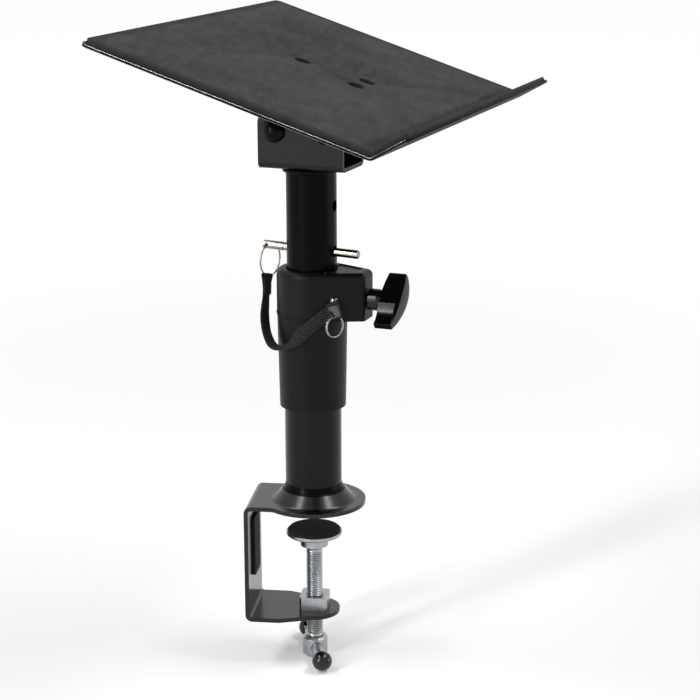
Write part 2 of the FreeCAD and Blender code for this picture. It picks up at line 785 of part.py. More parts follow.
def crown(body):
    """Domes the knob's face both ways: cuts away all that lies over a barrel-shaped surface."""
    along = "(knob_span_radius ^ 2 + knob_crown ^ 2) / (2 * knob_crown)"
    across = "(knob_half_thickness ^ 2 + knob_edge_drop ^ 2) / (2 * knob_edge_drop)"
    top = "(knob_tip_end + knob_crown)"
    half = "(knob_half_thickness + 0.5)"
    fall = f"({across} - sqrt(({across}) ^ 2 - {half} ^ 2))"
    section = sketch_on(body, "YZ_Plane")
    outline(section, [
        (half, f"{top} + knob_crown * 3"),
        (f"-{half}", f"{top} + knob_crown * 3"),
        (f"-{half}", f"{top} - {fall}", f"-({across})"),
        (half, f"{top} - {fall}"),
    ])
    level = size(f"{top} - {along}")
    axis = section.addGeometry(Part.LineSegment(Vector(-1, level, 0), Vector(1, level, 0)), True)
    for point, across_text in ((1, "-1"), (2, "1")):
        hold(section, "DistanceX", axis, point, across_text)
        hold(section, "DistanceY", axis, point, f"{top} - {along}")
    doc.recompute()
    before = body.Shape.Volume
    feature = body.newObject("PartDesign::Groove", "wing_knob_crown")
    feature.Profile = section
    feature.ReferenceAxis = (section, ["Axis0"])
    feature.Angle = 90
    feature.Midplane = True
    doc.recompute()
    if body.Shape.Volume >= before:
        raise RuntimeError("the knob's crown cuts nothing")


def wing_knob():
    """Moulded two-winged knob: a crowned bar on a round neck, each wing scooped on its leading side."""
    body = new_body("wing_knob", knob_frame())
    span = "knob_span_radius"
    swell = "(knob_half_thickness - (knob_tip_half_thickness + knob_heel_half_thickness) / 2)"
    lens_radius = f"(knob_span_radius ^ 2 + {swell} ^ 2) / (2 * {swell})"
    lens = sketch_on(body, "XY_Plane", lift="knob_tip_start")
    outline(lens, [
        (f"-{span}", "-knob_heel_half_thickness", lens_radius),
        (span, "-knob_tip_half_thickness"),
        (span, "knob_heel_half_thickness", lens_radius),
        (f"-{span}", "knob_tip_half_thickness"),
    ])
    pad(body, lens, "knob_tip_end - knob_tip_start + knob_crown * 1.2")
    crown(body)
    for side in (-1, 1):
        scoop = sketch_on(body, "XY_Plane", lift="knob_tip_start")
        away = f"{side} * (knob_scoop_radius + knob_half_thickness - knob_scoop_depth)"
        circle(scoop, f"{-side} * knob_scoop_reach", away, "knob_scoop_radius")
        cut(body, scoop, "knob_tip_end - knob_tip_start - knob_cap", reverse=True)
    lathe(body, [
        ("0", "knob_neck_start"),
        ("knob_neck_radius - 0.5", "knob_neck_start"),
        ("knob_neck_radius", "knob_neck_start + 0.5"),
        ("knob_neck_radius", "knob_wing_start"),
        ("knob_half_thickness", "knob_tip_start + 3"),
        ("0", "knob_tip_end"),
    ])
    bore = circle(sketch_on(body, "XY_Plane", lift="knob_neck_start"), "0", "0", "bolt_radius + press_fit")
    cut(body, bore, "bolt_end - knob_neck_start + press_fit", reverse=True)


# ---------------------------------------------------------------- bracket, pivot bolt and washers


def mast_bracket():
    """U of bent sheet on the mast's top, with a pivot hole and a spare hole in each ear."""
    body = new_body("mast_bracket", HEAD)
    section = sketch_on(body, "YZ_Plane")
    half = "bracket_width / 2"
    inner = "(bracket_width / 2 - bracket_sheet)"
    floor = "bracket_start + bracket_sheet"
    top = "bracket_start + bracket_height"
    outline(section, [
        (f"-{half}", "bracket_start"),
        (half, "bracket_start"),
        (half, top),
        (inner, top),
        (inner, floor),
        (f"-{inner}", floor),
        (f"-{inner}", top),
        (f"-{half}", top),
    ])
    pad(body, section, "bracket_length", symmetric=True)

    def outer_bend(edge):
        place = middle_of(edge)
        return runs_along(edge, X) and near(place.z, size("bracket_start")) and near(abs(place.y), size(half))

    def inner_bend(edge):
        place = middle_of(edge)
        return runs_along(edge, X) and near(place.z, size(floor)) and near(abs(place.y), size(inner))

    def ear_corner(edge):
        place = middle_of(edge)
        return runs_along(edge, Y) and near(place.z, size(top))

    soften(body, "bracket_bend + bracket_sheet", outer_bend)
    soften(body, "bracket_bend", inner_bend)
    soften(body, "bracket_corner", ear_corner)
    holes = sketch_on(body, "XZ_Plane")
    circle(holes, "pivot_along", "bracket_start + pivot_rise", "pivot_radius + pivot_fit")
    circle(holes, "spare_hole_along", "spare_hole_height", "spare_hole_radius")
    cut(body, holes, "bracket_width + 2", symmetric=True)


EAR = "(bracket_width / 2)"
INNER_EAR = "(bracket_width / 2 - bracket_sheet - disc_thickness - disc_gap * 2)"


def pivot_set():
    """Round-headed bolt across the ears, with washers outside, slip discs inside and a nut behind."""
    bolt = new_body("pivot_bolt", PIVOT)
    seat = f"(-{EAR} - washer_thickness)"
    nut_end = f"{EAR} + washer_thickness + pivot_nut_height + 1.5"
    dome = "(pivot_head_radius ^ 2 + pivot_head_height ^ 2) / (2 * pivot_head_height)"
    lathe(bolt, [
        ("0", f"{seat} - pivot_head_height", dome),
        ("pivot_head_radius", seat),
        ("pivot_radius", seat),
        ("pivot_radius", nut_end),
        ("0", nut_end),
    ])
    washers = []
    for side in (-1, 1):
        start = size(EAR) if side > 0 else size(seat)
        washers.append(ring_solid("washer_radius", "pivot_radius + pivot_fit", start, size("washer_thickness")))
    group("pivot_washers", washers, PIVOT)
    discs = []
    for side in (-1, 1):
        inside = size(EAR) - size("bracket_sheet")
        start = inside - size("disc_thickness") - size("disc_gap") if side > 0 else size("disc_gap") - inside
        discs.append(ring_solid("disc_radius", "pivot_radius + pivot_fit", start, size("disc_thickness")))
    group("slip_discs", discs, PIVOT)
    nut = new_body("pivot_nut", PIVOT)
    start = f"{EAR} + washer_thickness"
    plan = hexagon(sketch_on(nut, "XY_Plane", lift=start), "0", "0", "pivot_nut_flats")
    circle(plan, "0", "0", "pivot_radius + press_fit")
    pad(nut, plan, "pivot_nut_height")


def ring_solid(outer, inner, start, thickness):
    disc = Part.makeCylinder(size(outer), thickness, Vector(0, 0, start))
    return disc.cut(Part.makeCylinder(size(inner), thickness, Vector(0, 0, start)))


# ---------------------------------------------------------------- tray, hanger, pad and screws

SCREW_PLACES = (
    ("tray_screw_high", "0"),
    ("tray_screw_low", "-tray_screw_spread"),
    ("tray_screw_low", "tray_screw_spread"),
)


def tray_hanger():
    """Smaller U of sheet under the tray, whose ears hang between the bracket's and turn on the bolt.

    Each ear is a plate round two lobes: one about the pivot, one about a hole that meets the bracket's
    spare hole."""
    body = new_body("tray_hanger", TRAY)
    roof = "(tray_rise - tray_sheet)"
    over = "(spare_hole_along - pivot_along)"
    rise = "(spare_hole_height - bracket_start - pivot_rise)"
    toe_x = f"({over} * cos(tray_tilt) - {rise} * sin(tray_tilt))"
    toe_z = f"({over} * sin(tray_tilt) + {rise} * cos(tray_tilt))"
    apart = f"sqrt({toe_x} ^ 2 + {toe_z} ^ 2)"
    tangent = f"(atan2({toe_z}; {toe_x}) - acos((hanger_lobe - hanger_toe) / {apart}))"
    ear = sketch_on(body, "XZ_Plane")
    outline(ear, [
        ("-hanger_lobe", roof),
        ("-hanger_lobe", "0", "hanger_lobe"),
        (f"hanger_lobe * cos({tangent})", f"hanger_lobe * sin({tangent})"),
        (f"{toe_x} + hanger_toe * cos({tangent})", f"{toe_z} + hanger_toe * sin({tangent})", "hanger_toe"),
        (f"{toe_x} + hanger_toe", toe_z),
        ("hanger_end", f"{roof} - hanger_sheet - 4"),
        ("hanger_end", roof),
    ])
    pad(body, ear, f"{INNER_EAR} * 2", symmetric=True)
    gap = sketch_on(body, "XZ_Plane")
    rectangle(gap, "-hanger_lobe - 1", "-hanger_lobe - 1", "hanger_end + 1", f"{roof} - hanger_sheet")
    cut(body, gap, f"({INNER_EAR} - hanger_sheet) * 2", symmetric=True)

    def outer_bend(edge):
        place = middle_of(edge)
        return runs_along(edge, X) and near(place.z, size(roof)) and near(abs(place.y), size(INNER_EAR))

    soften(body, "hanger_sheet + 1", outer_bend)
    holes = sketch_on(body, "XZ_Plane")
    circle(holes, "0", "0", "pivot_radius + pivot_fit")
    circle(holes, toe_x, toe_z, "spare_hole_radius")
    cut(body, holes, "bracket_width", symmetric=True)
    for along, across in SCREW_PLACES:
        hole = sketch_on(body, "XY_Plane", lift=f"{roof} - hanger_sheet - 1")
        circle(hole, along, across, "tray_screw_radius + press_fit")
        cut(body, hole, "hanger_sheet + 2", reverse=True)


def folded_sheet(body, lower, thickness, margin, corner, lip_corner):
    """Sheet folded up along one long side: drawn as a section along the tray and padded across it."""
    start = f"(-tray_high_edge + {margin})"
    fold_low = f"(tray_fold - ({lower} - tray_rise) * tan(lip_angle / 2))"
    upper = f"({lower} + {thickness})"
    fold_high = f"(tray_fold - ({upper} - tray_rise) * tan(lip_angle / 2))"
    reach = f"(lip_height - {margin})"
    section = sketch_on(body, "XZ_Plane")
    outline(section, [
        (start, lower),
        (fold_low, lower),
        (
            f"tray_fold + {reach} * cos(lip_angle) - ({lower} - tray_rise) * sin(lip_angle)",
            f"tray_rise + {reach} * sin(lip_angle) + ({lower} - tray_rise) * cos(lip_angle)",
        ),
        (
            f"tray_fold + {reach} * cos(lip_angle) - ({upper} - tray_rise) * sin(lip_angle)",
            f"tray_rise + {reach} * sin(lip_angle) + ({upper} - tray_rise) * cos(lip_angle)",
        ),
        (fold_high, upper),
        (start, upper),
    ])
    pad(body, section, f"tray_width - ({margin}) * 2", symmetric=True)
    tilt = math.radians(size("lip_angle"))
    lip_normal = Vector(-math.sin(tilt), 0, math.cos(tilt))

    def fold_edge(edge):
        place = middle_of(edge)
        beside = near(place.x, size(fold_low)) or near(place.x, size(fold_high))
        return runs_along(edge, Y) and beside

    def lip_end(edge):
        return runs_along(edge, lip_normal) and middle_of(edge).x > size("tray_fold")

    def high_end(edge):
        return runs_along(edge, Z) and near(middle_of(edge).x, size(start))

    soften(body, "tray_bend + tray_sheet", fold_edge)
    soften(body, corner, high_end)
    soften(body, lip_corner, lip_end)


def tray_sheet():
    """Steel tray with its folded lip, carried on the hanger by three screws."""
    body = new_body("tray_sheet", TRAY)
    folded_sheet(body, "(tray_rise - tray_sheet)", "tray_sheet", "0", "tray_corner", "lip_corner")
    for along, across in SCREW_PLACES:
        hole = sketch_on(body, "XY_Plane", lift="tray_rise - tray_sheet - 1")
        circle(hole, along, across, "tray_screw_radius + tray_screw_fit")
        cut(body, hole, "tray_sheet + 2", reverse=True)


def tray_pad():
    """Foam sheet glued over the tray and its lip, with a round hole over each screw."""
    body = new_body("tray_pad", TRAY)
    folded_sheet(body, "tray_rise", "pad_thickness", "pad_margin", "pad_corner", "pad_corner")
    for along, across in SCREW_PLACES:
        hole = sketch_on(body, "XY_Plane", lift="tray_rise - 1")
        circle(hole, along, across, "pad_hole_radius")
        cut(body, hole, "pad_thickness + 2", reverse=True)


def tray_screws():
    """Three pan-headed screws through the tray, threaded into the hanger."""
    screws = []
    for along, across in SCREW_PLACES:
        seat = Vector(size(along), size(across), size("tray_rise"))
        head = Part.makeCylinder(size("tray_screw_head_radius"), size("tray_screw_head_height"), seat)
        top = max(head.Edges, key=lambda edge: edge.CenterOfMass.z)
        head = head.makeFillet(size("tray_screw_head_height * 0.5"), [top])
        length = size("tray_screw_length")
        shank = Part.makeCylinder(size("tray_screw_radius"), length, seat - Z * length)
        screws.append(head.fuse(shank).removeSplitter())
    group("tray_screws", screws, TRAY)


# ---------------------------------------------------------------- safety pin, rings and lanyard


def pin_frame():
    """Frame of the pin, which lies a little slanted in its loose holes: Z along the pin."""
    return HEAD * Placement(Vector(0, 0, size("pin_height")), Rotation(Y, 90 + size("pin_tilt")))


def safety_pin():
    """Plated pin through the mast, grooved near the wall and cross-drilled for its ring."""
    body = new_body("safety_pin", pin_frame())
    start = "(pin_offset - pin_length / 2)"
    end = "(pin_offset + pin_length / 2)"
    root = "pin_radius - pin_groove_depth"
    lathe(body, [
        ("0", start),
        ("pin_radius - pin_chamfer", start),
        ("pin_radius", f"{start} + pin_chamfer"),
        ("pin_radius", "pin_groove_place"),
        (root, "pin_groove_place"),
        (root, "pin_groove_place + pin_groove_width"),
        ("pin_radius", "pin_groove_place + pin_groove_width"),
        ("pin_radius", f"{end} - pin_chamfer"),
        ("pin_radius - pin_chamfer", end),
        ("0", end),
    ])
    hole = circle(sketch_on(body, "XZ_Plane"), "0", "ring_hole_place", "ring_hole_radius")
    cut(body, hole, "pin_radius * 2 + 1", symmetric=True)


def ring_at(label, place, radius, wire):
    """Split ring, drawn as one round wire, standing in its frame's XZ plane."""
    ring = doc.addObject("Part::Torus", label)
    ring.Label = label
    ring.setExpression("Radius1", bind(radius))
    ring.setExpression("Radius2", bind(wire))
    ring.Placement = place * Placement(Vector(0, 0, 0), Rotation(X, 90))
    doc.recompute()
    PARTS.append(ring)


def rings():
    hole = pin_frame().multVec(Vector(0, 0, size("ring_hole_place")))
    stand = Placement(hole, Rotation(Z, size("head_turn + pin_ring_turn")))
    swing = math.radians(size("pin_ring_swing"))
    hang = Vector(math.sin(swing), 0, -math.cos(swing)) * size("pin_ring_radius")
    ring_at("pin_ring", stand * Placement(hang, Rotation()), "pin_ring_radius", "ring_wire_radius")
    out = -size("collar_radius + anchor_ring_out")
    low = size("block_start + anchor_rise - anchor_ring_drop")
    face = COLLAR * Placement(Vector(0, 0, 0), Rotation(Z, size("block_taper")))
    spot = Placement(Vector(size("anchor_along"), out, low), Rotation(Z, size("anchor_ring_turn")))
    ring_at("anchor_ring", face * spot, "anchor_ring_radius", "anchor_ring_wire")


def anchor_screw():
    """Small round-headed screw that holds the strap's end against the block's flat side."""
    face = COLLAR * Placement(Vector(0, 0, 0), Rotation(Z, size("block_taper")))
    spot = Vector(size("anchor_along"), -size("collar_radius"), size("block_start + anchor_rise"))
    body = new_body("anchor_screw", face * Placement(spot, Rotation(X, 90)))
    dome = "(anchor_head_radius ^ 2 + anchor_head_height ^ 2) / (2 * anchor_head_height)"
    lathe(body, [
        ("0", "-anchor_shank_length"),
        ("anchor_shank_radius", "-anchor_shank_length"),
        ("anchor_shank_radius", "0"),
        ("anchor_head_radius", "0", dome),
        ("0", "anchor_head_height"),
    ])


def lanyard_strap():
    """Strap as a round tube of its route: straight runs joined by the largest tangent arcs they allow."""
    points = [Vector(*place) for place in STRAP_ROUTE]
    edges = []
    at = points[0]
    for before, corner, after in zip(points, points[1:], points[2:]):
        back = before - corner
        onward = after - corner
        shorter = min(back.Length, onward.Length)
        turn = math.pi - back.getAngle(onward)
        radius = 0.45 * shorter / math.tan(turn / 2)
        print(f"lanyard_strap bend radius {radius:.1f} mm, {radius / size('strap_radius * 2'):.1f} diameters")
        back.normalize()
        onward.normalize()
        tangent = 0.45 * shorter
        inward = (back + onward).normalize()
        centre = corner + inward * math.hypot(radius, tangent)
        middle = centre - inward * radius
        arc_start = corner + back * tangent
        arc_end = corner + onward * tangent
        edges.append(Part.LineSegment(at, arc_start).toShape())
        edges.append(Part.Arc(arc_start, middle, arc_end).toShape())
        at = arc_end
    edges.append(Part.LineSegment(at, points[-1]).toShape())
    path = Part.Wire(edges)
    section = Part.Wire(Part.makeCircle(size("strap_radius"), points[0], points[1] - points[0]))
    tube = path.makePipeShell([section], True, True)
    expected = math.pi * size("strap_radius") ** 2 * path.Length
    print(f"lanyard_strap {path.Length:.1f} mm long, volume {tube.Volume / expected:.4f} of section x length")
    group("lanyard_strap", [tube], COLLAR)


# ---------------------------------------------------------------- build, test and write

for make in (
    clamp_frame, leg_pad, jaw_nut, clamp_screw, tommy_bar, bar_balls, foot, lower_tube, collar_housing,
    brake_shoe, housing_nut, knob_bolt, wing_knob, mast_bush, upper_tube, bracket_weld, mast_bracket,
    pivot_set, tray_hanger, tray_sheet, tray_pad, tray_screws, safety_pin, rings, anchor_screw,
    lanyard_strap,
):
    make()
doc.recompute()

for item in doc.Objects:
    if "Invalid" in item.State or "Error" in item.State:
        raise RuntimeError(f"{item.Label} failed: {item.State}")

os.makedirs("parts", exist_ok=True)
for part in PARTS:
    shape = part.Shape
    if shape.isNull() or not shape.isValid() or not shape.Solids:
        raise RuntimeError(f"{part.Label} has no valid solid")
    shape.exportStep(f"parts/{part.Label}.step")
    box = shape.BoundBox
    print(f"{part.Label}: {len(shape.Solids)} solids, {shape.Volume:.0f} mm3, "
          f"{box.XLength:.1f} x {box.YLength:.1f} x {box.ZLength:.1f}")
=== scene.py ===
"""Desk clamp stand: a column clamped to a desk's edge carries a tilting, padded steel tray."""
from math import copysign, cos, radians, sin, tan, tau

import bmesh
import bpy
from mathutils import Matrix, Vector


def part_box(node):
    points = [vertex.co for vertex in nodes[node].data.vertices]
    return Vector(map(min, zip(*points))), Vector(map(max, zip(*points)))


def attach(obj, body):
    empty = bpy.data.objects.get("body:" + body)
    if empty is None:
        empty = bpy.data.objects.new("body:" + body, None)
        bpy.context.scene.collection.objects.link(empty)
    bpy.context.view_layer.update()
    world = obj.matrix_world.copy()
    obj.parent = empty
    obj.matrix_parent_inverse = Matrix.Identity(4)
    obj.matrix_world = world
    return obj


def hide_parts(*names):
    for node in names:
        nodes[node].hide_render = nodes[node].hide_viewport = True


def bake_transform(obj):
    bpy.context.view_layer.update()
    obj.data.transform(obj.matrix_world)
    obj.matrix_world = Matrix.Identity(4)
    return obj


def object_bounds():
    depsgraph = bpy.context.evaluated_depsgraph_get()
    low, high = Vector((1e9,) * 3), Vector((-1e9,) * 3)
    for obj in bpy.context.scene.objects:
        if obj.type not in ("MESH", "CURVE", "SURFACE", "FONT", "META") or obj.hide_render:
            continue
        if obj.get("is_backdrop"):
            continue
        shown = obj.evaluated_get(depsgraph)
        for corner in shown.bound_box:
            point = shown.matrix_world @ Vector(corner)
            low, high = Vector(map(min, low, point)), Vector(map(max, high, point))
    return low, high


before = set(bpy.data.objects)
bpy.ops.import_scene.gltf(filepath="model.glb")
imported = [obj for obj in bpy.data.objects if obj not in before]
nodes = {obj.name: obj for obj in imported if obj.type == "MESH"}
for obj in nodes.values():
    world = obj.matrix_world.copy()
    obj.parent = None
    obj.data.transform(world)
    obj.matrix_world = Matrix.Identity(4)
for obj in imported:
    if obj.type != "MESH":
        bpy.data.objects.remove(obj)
sizes = {"cad": [list(corner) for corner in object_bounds()]}
scene = bpy.context.scene
mm = 0.001


# ---------------- camera
# A long lens in front, higher than the tray and a little to the right, looking down by 15 degrees.
lens = bpy.data.cameras.new("camera")
lens.lens = 99.03
lens.sensor_width = 36
camera = bpy.data.objects.new("camera", lens)
scene.collection.objects.link(camera)
scene.camera = camera
camera.matrix_world = (
    Matrix.Translation((0.18954, -1.29137, 0.46513))
    @ Matrix.Rotation(radians(7.20), 4, "Z")
    @ Matrix.Rotation(radians(74.86), 4, "X")
    @ Matrix.Rotation(radians(-0.19), 4, "Z")
)


# ---------------- lanyard
# Narrow black nylon webbing in a herringbone weave. It is screwed to the collar, lies flat on it,
# hangs in a loop and is folded round the pin's split ring. A short tab holds the spare ring.
strap_width = 9.0 * mm
strap_thickness = 1.1 * mm
collar_turn = Matrix.Rotation(radians(-13.2), 4, "Z")
upward = Vector((0, 0, 1))
# each place on the webbing's middle line, then the direction across the webbing there
strap_route = [
    ((27.0, -16.9, 150.2), (-0.56, -0.24, 0.79)), ((23.5, -18.5, 147.8), (-0.56, -0.24, 0.79)),
    ((19.5, -20.0, 145.0), (-0.56, -0.24, 0.79)), ((14.3, -22.1, 140.9), (-0.57, -0.24, 0.78)),
    ((9.9, -24.2, 136.9), (-0.60, -0.20, 0.77)), ((5.4, -26.0, 133.0), (-0.66, -0.10, 0.74)),
    ((1.5, -27.7, 128.9), (-0.60, 0.25, 0.76)), ((-2.6, -28.6, 125.0), (-0.35, 0.70, 0.62)),
    ((-7.0, -29.0, 121.9), (-0.15, 0.93, 0.33)), ((-12.0, -28.3, 119.8), (0.0, 1.0, 0.1)),
    ((-17.0, -25.9, 118.9), (0.05, 1.0, 0.0)), ((-22.0, -21.9, 119.9), (0.10, 0.99, 0.0)),
    ((-26.2, -17.7, 123.3), (0.12, 0.99, 0.0)), ((-29.6, -13.5, 127.8), (0.15, 0.99, 0.0)),
    ((-31.9, -9.9, 133.4), (0.25, 0.97, 0.0)), ((-33.0, -7.3, 139.0), (0.25, 0.97, 0.0)),
    ((-33.2, -5.1, 145.0), (0.20, 0.98, 0.0)), ((-33.3, -3.3, 151.0), (0.10, 0.99, 0.0)),
    ((-33.8, -1.6, 157.0), (0.12, 0.99, -0.1)), ((-34.5, -0.9, 161.3), (0.22, 0.94, -0.25)),
]


def linear(colour):
    """Linear red, green, blue and alpha of an sRGB colour written as six hex digits."""
    parts = [int(colour[at:at + 2], 16) / 255 for at in (0, 2, 4)]
    return [p / 12.92 if p <= 0.04045 else ((p + 0.055) / 1.055) ** 2.4 for p in parts] + [1.0]


def wire(tree, node, inputs):
    """Gives each input a value, a socket to follow, or a node, whose first socket it follows."""
    for name, value in inputs.items():
        if isinstance(value, bpy.types.Node):
            value = value.outputs[0]
        if isinstance(value, bpy.types.NodeSocket):
            tree.links.new(value, node.inputs[name])
        else:
            node.inputs[name].default_value = value


def add(tree, kind, inputs=None, **settings):
    """One node with its settings and links."""
    node = tree.nodes.new(kind)
    for name, value in settings.items():
        setattr(node, name, value)
    wire(tree, node, inputs or {})
    return node


def new_finish(name):
    """A material, its node tree, its shader, and the place on the piece that its patterns read."""
    finish = bpy.data.materials.new(name)
    finish.use_nodes = True
    tree = finish.node_tree
    tree.nodes.clear()
    shader = add(tree, "ShaderNodeBsdfPrincipled")
    add(tree, "ShaderNodeOutputMaterial", {"Surface": shader})
    return finish, tree, shader, add(tree, "ShaderNodeTexCoord").outputs["Object"]


# Nylon webbing: dull black filament yarn, with a painted highlight on each rib's crest and painted
# shade in the grooves between. Its herringbone has ribs 1.6 mm apart in four columns 2.4 mm wide,
# and fibres of 0.4 mm, all coarser than the real weave so that they show. A texture's scale is in
# waves for each metre here, so 2600 is 0.4 mm.
rib_pitch, column_width = 1.6, 2.4
webbing, tree, shader, spot = new_finish("nylon_webbing")
place = add(tree, "ShaderNodeSeparateXYZ", {"Vector": add(tree, "ShaderNodeUVMap", uv_map="cloth")})
zigzag = add(tree, "ShaderNodeMath", {0: place.outputs["X"], 1: column_width}, operation="PINGPONG")
slant = add(tree, "ShaderNodeMath", {0: zigzag, 1: place.outputs["Y"]}, operation="ADD")
turns = add(tree, "ShaderNodeMath", {0: slant, 1: tau / rib_pitch}, operation="MULTIPLY")
rib = add(tree, "ShaderNodeMath", {0: turns}, operation="SINE")
rib_height = add(tree, "ShaderNodeMapRange", {"Value": rib, "From Min": -1.0, "From Max": 1.0})
fibre = add(tree, "ShaderNodeTexNoise", {"Vector": spot, "Scale": 2600.0, "Detail": 2.0})
# the rib crests get a painted highlight and the grooves painted shade, broken up by the fibres
crown = add(tree, "ShaderNodeMath", {0: rib_height, 1: 1.6}, operation="POWER")
painted_rib_highlight = add(tree, "ShaderNodeMath", {0: crown, 1: fibre}, operation="MULTIPLY")
rib_highlight_and_groove_shade_colour = add(tree, "ShaderNodeMix", {
    "Factor": painted_rib_highlight, 6: linear("020202"), 7: linear("6a6a6c")}, data_type="RGBA")
relief = add(tree, "ShaderNodeBump", {"Height": rib_height, "Strength": 0.9, "Distance": 0.0006})
wire(tree, shader, {
    "Base Color": rib_highlight_and_groove_shade_colour.outputs[2], "Roughness": 0.7, "Specular IOR Level": 0.08,
    "Normal": relief})

# Bonded nylon sewing thread, a shade lighter than the webbing and slightly glossy, with its twist
# as a change of tone each 0.6 mm.
thread, tree, shader, spot = new_finish("nylon_thread")
lay = add(tree, "ShaderNodeTexNoise", {"Vector": spot, "Scale": 1800.0, "Detail": 1.0})
thread_colour = add(tree, "ShaderNodeMix", {
    "Factor": lay, 6: linear("4c4c4d"), 7: linear("969698")}, data_type="RGBA")
wire(tree, shader, {
    "Base Color": thread_colour.outputs[2], "Roughness": 0.5, "Specular IOR Level": 0.3})

# a smooth curve through the route gives the middle line and the length along it at each point
route_curve = bpy.data.curves.new("lanyard_route", "CURVE")
route_curve.dimensions = "3D"
spline = route_curve.splines.new("NURBS")
spline.points.add(len(strap_route) - 1)
for knot, (corner, _) in zip(spline.points, strap_route):
    knot.co = (*(collar_turn @ (Vector(corner) * mm)), 1.0)
spline.order_u = 3
spline.use_endpoint_u = True
route_object = bpy.data.objects.new("lanyard_route", route_curve)
scene.collection.objects.link(route_object)
line = [v.co.copy() for v in bpy.data.meshes.new_from_object(route_object).vertices]
bpy.data.objects.remove(route_object)
lengths = [0.0]
for here, there in zip(line, line[1:]):
    lengths.append(lengths[-1] + (there - here).length)
whole = lengths[-1]
route_step = 0.5 * mm


def stretch(start, end):
    """Places along the route from one length to another, with the width's direction at each."""
    places, across = [], []
    count = round((end - start) / route_step)
    for k in range(count + 1):
        length = start + (end - start) * k / count
        at = next((i for i in range(1, len(line)) if lengths[i] >= length - 1e-9), len(line) - 1)
        share = (length - lengths[at - 1]) / (lengths[at] - lengths[at - 1])
        places.append(line[at - 1].lerp(line[at], share))
        knot = (at - 1 + share) / (len(line) - 1) * (len(strap_route) - 1)
        low = min(int(knot), len(strap_route) - 2)
        side = Vector(strap_route[low][1]).lerp(Vector(strap_route[low + 1][1]), knot - low)
        across.append(collar_turn @ side)
    return places, across


def placed(name, form, finish):
    """Makes a hand-built mesh a piece of the scene, in one material."""
    mesh = bpy.data.meshes.new(name)
    form.to_mesh(mesh)
    mesh.materials.append(finish)
    piece = bpy.data.objects.new(name, mesh)
    scene.collection.objects.link(piece)
    return piece


weft_pitch, weft_reach = 2.0 * mm, 0.22 * mm


def ribbon(name, path, sides, width=strap_width, begin=0.0):
    """Flat webbing swept along a path. sides are the directions of its width, and begin is the
    cloth's length before the path's start, so that the weave runs on from piece to piece."""
    half, lift = width / 2, strap_thickness / 2
    rim = [(-half, 0.0), (-half + lift * 0.6, lift * 0.85), (-half * 0.5, lift), (0.0, lift * 0.92),
           (half * 0.5, lift), (half - lift * 0.6, lift * 0.85)]
    rim += [(-across, -up) for across, up in rim]
    cloth = bmesh.new()
    weave = cloth.loops.layers.uv.new("cloth")
    rings, along = [], begin
    for at, (here, side) in enumerate(zip(path, sides)):
        onward = (path[min(at + 1, len(path) - 1)] - path[max(at - 1, 0)]).normalized()
        side = (side - onward * side.dot(onward)).normalized()
        face = side.cross(onward)
        if at:
            along += (here - path[at - 1]).length
        # the weft's turns stand out along both edges
        bump = weft_reach * sin(tau * along / weft_pitch)
        ring = []
        for a, u in rim:
            wide = a + copysign(bump, a) if abs(a) > half * 0.7 else a
            ring.append(cloth.verts.new(here + side * wide + face * u))
        rings.append((ring, along))
    for (low, start), (high, end) in zip(rings, rings[1:]):
        for k in range(len(rim)):
            nxt = (k + 1) % len(rim)
            quad = cloth.faces.new((low[k], low[nxt], high[nxt], high[k]))
            quad.smooth = True
            corners = ((k, start), (nxt, start), (nxt, end), (k, end))
            for loop, (at, length) in zip(quad.loops, corners):
                loop[weave].uv = (rim[at][0] / mm + 20, length / mm)
    cloth.faces.new(list(reversed(rings[0][0])))
    cloth.faces.new(rings[-1][0])
    bmesh.ops.recalc_face_normals(cloth, faces=cloth.faces)
    return placed(name, cloth, webbing)


wire_seat = strap_thickness * 0.62  # from a wire's surface to the middle of webbing laid round it
fold_free = 2.2 * mm  # the fold's length that stays clear of the strap before its tail lies on it


def folded_round(path, sides, wire_place, wire_radius, outward, tail):
    """Carries a path round a wire and back along its own inner side for the tail's length."""
    reach = wire_radius + wire_seat
    loop = [wire_place + (outward * cos(a) + upward * sin(a)) * reach
            for a in [radians(-20 + 220 * k / 12) for k in range(13)]]
    back, back_sides = [], []
    gone = 0.0
    for k in range(len(path) - 2, 0, -1):
        gone += (path[k + 1] - path[k]).length
        if gone > tail:
            break
        if gone > fold_free:
            back.append(path[k] - outward * strap_thickness * 1.1)
            back_sides.append(sides[k])
    return path + loop + back, sides + [sides[-1]] * len(loop) + back_sides


collar_run, loop_run, fold_tail = 57 * mm, 20 * mm, 11 * mm
pin_ring_low, pin_ring_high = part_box("pin_ring")
pin_ring_centre = (pin_ring_low + pin_ring_high) / 2
pin_ring_radius, pin_ring_wire = 11.6 * mm, 0.7 * mm
pin_ring_normal = Vector((-0.895, 0.446, 0)).normalized()
pin_ring_level = pin_ring_normal.cross(upward)
fold_swing = radians(-20)
fold_place = pin_ring_centre + pin_ring_radius * (
    sin(fold_swing) * pin_ring_level - cos(fold_swing) * upward)

low_path, low_sides = stretch(0, collar_run)
top_start = collar_run + loop_run
middle_path, middle_sides = stretch(collar_run, top_start)
top_path, top_sides = stretch(top_start, whole)
top_path, top_sides = folded_round(
    top_path, top_sides, fold_place, pin_ring_wire, pin_ring_normal, fold_tail)
strap = ribbon("lanyard_webbing", low_path, low_sides)
loop_strap = ribbon("lanyard_loop", middle_path, middle_sides, begin=collar_run)
end_strap = ribbon("lanyard_ring_end", top_path, top_sides, begin=top_start)

# the spare ring's tab: a doubled end of webbing sewn to the strap where its screw holds it
spare_low, spare_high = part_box("anchor_ring")
spare_centre = (spare_low + spare_high) / 2
spare_radius, spare_wire = 7.4 * mm, 0.95 * mm
spare_bearing, tab_lean = radians(49.2), radians(8)
spare_level = Vector((cos(spare_bearing), sin(spare_bearing), 0))
tab_fold = spare_centre + spare_radius * (sin(tab_lean) * spare_level + cos(tab_lean) * upward)
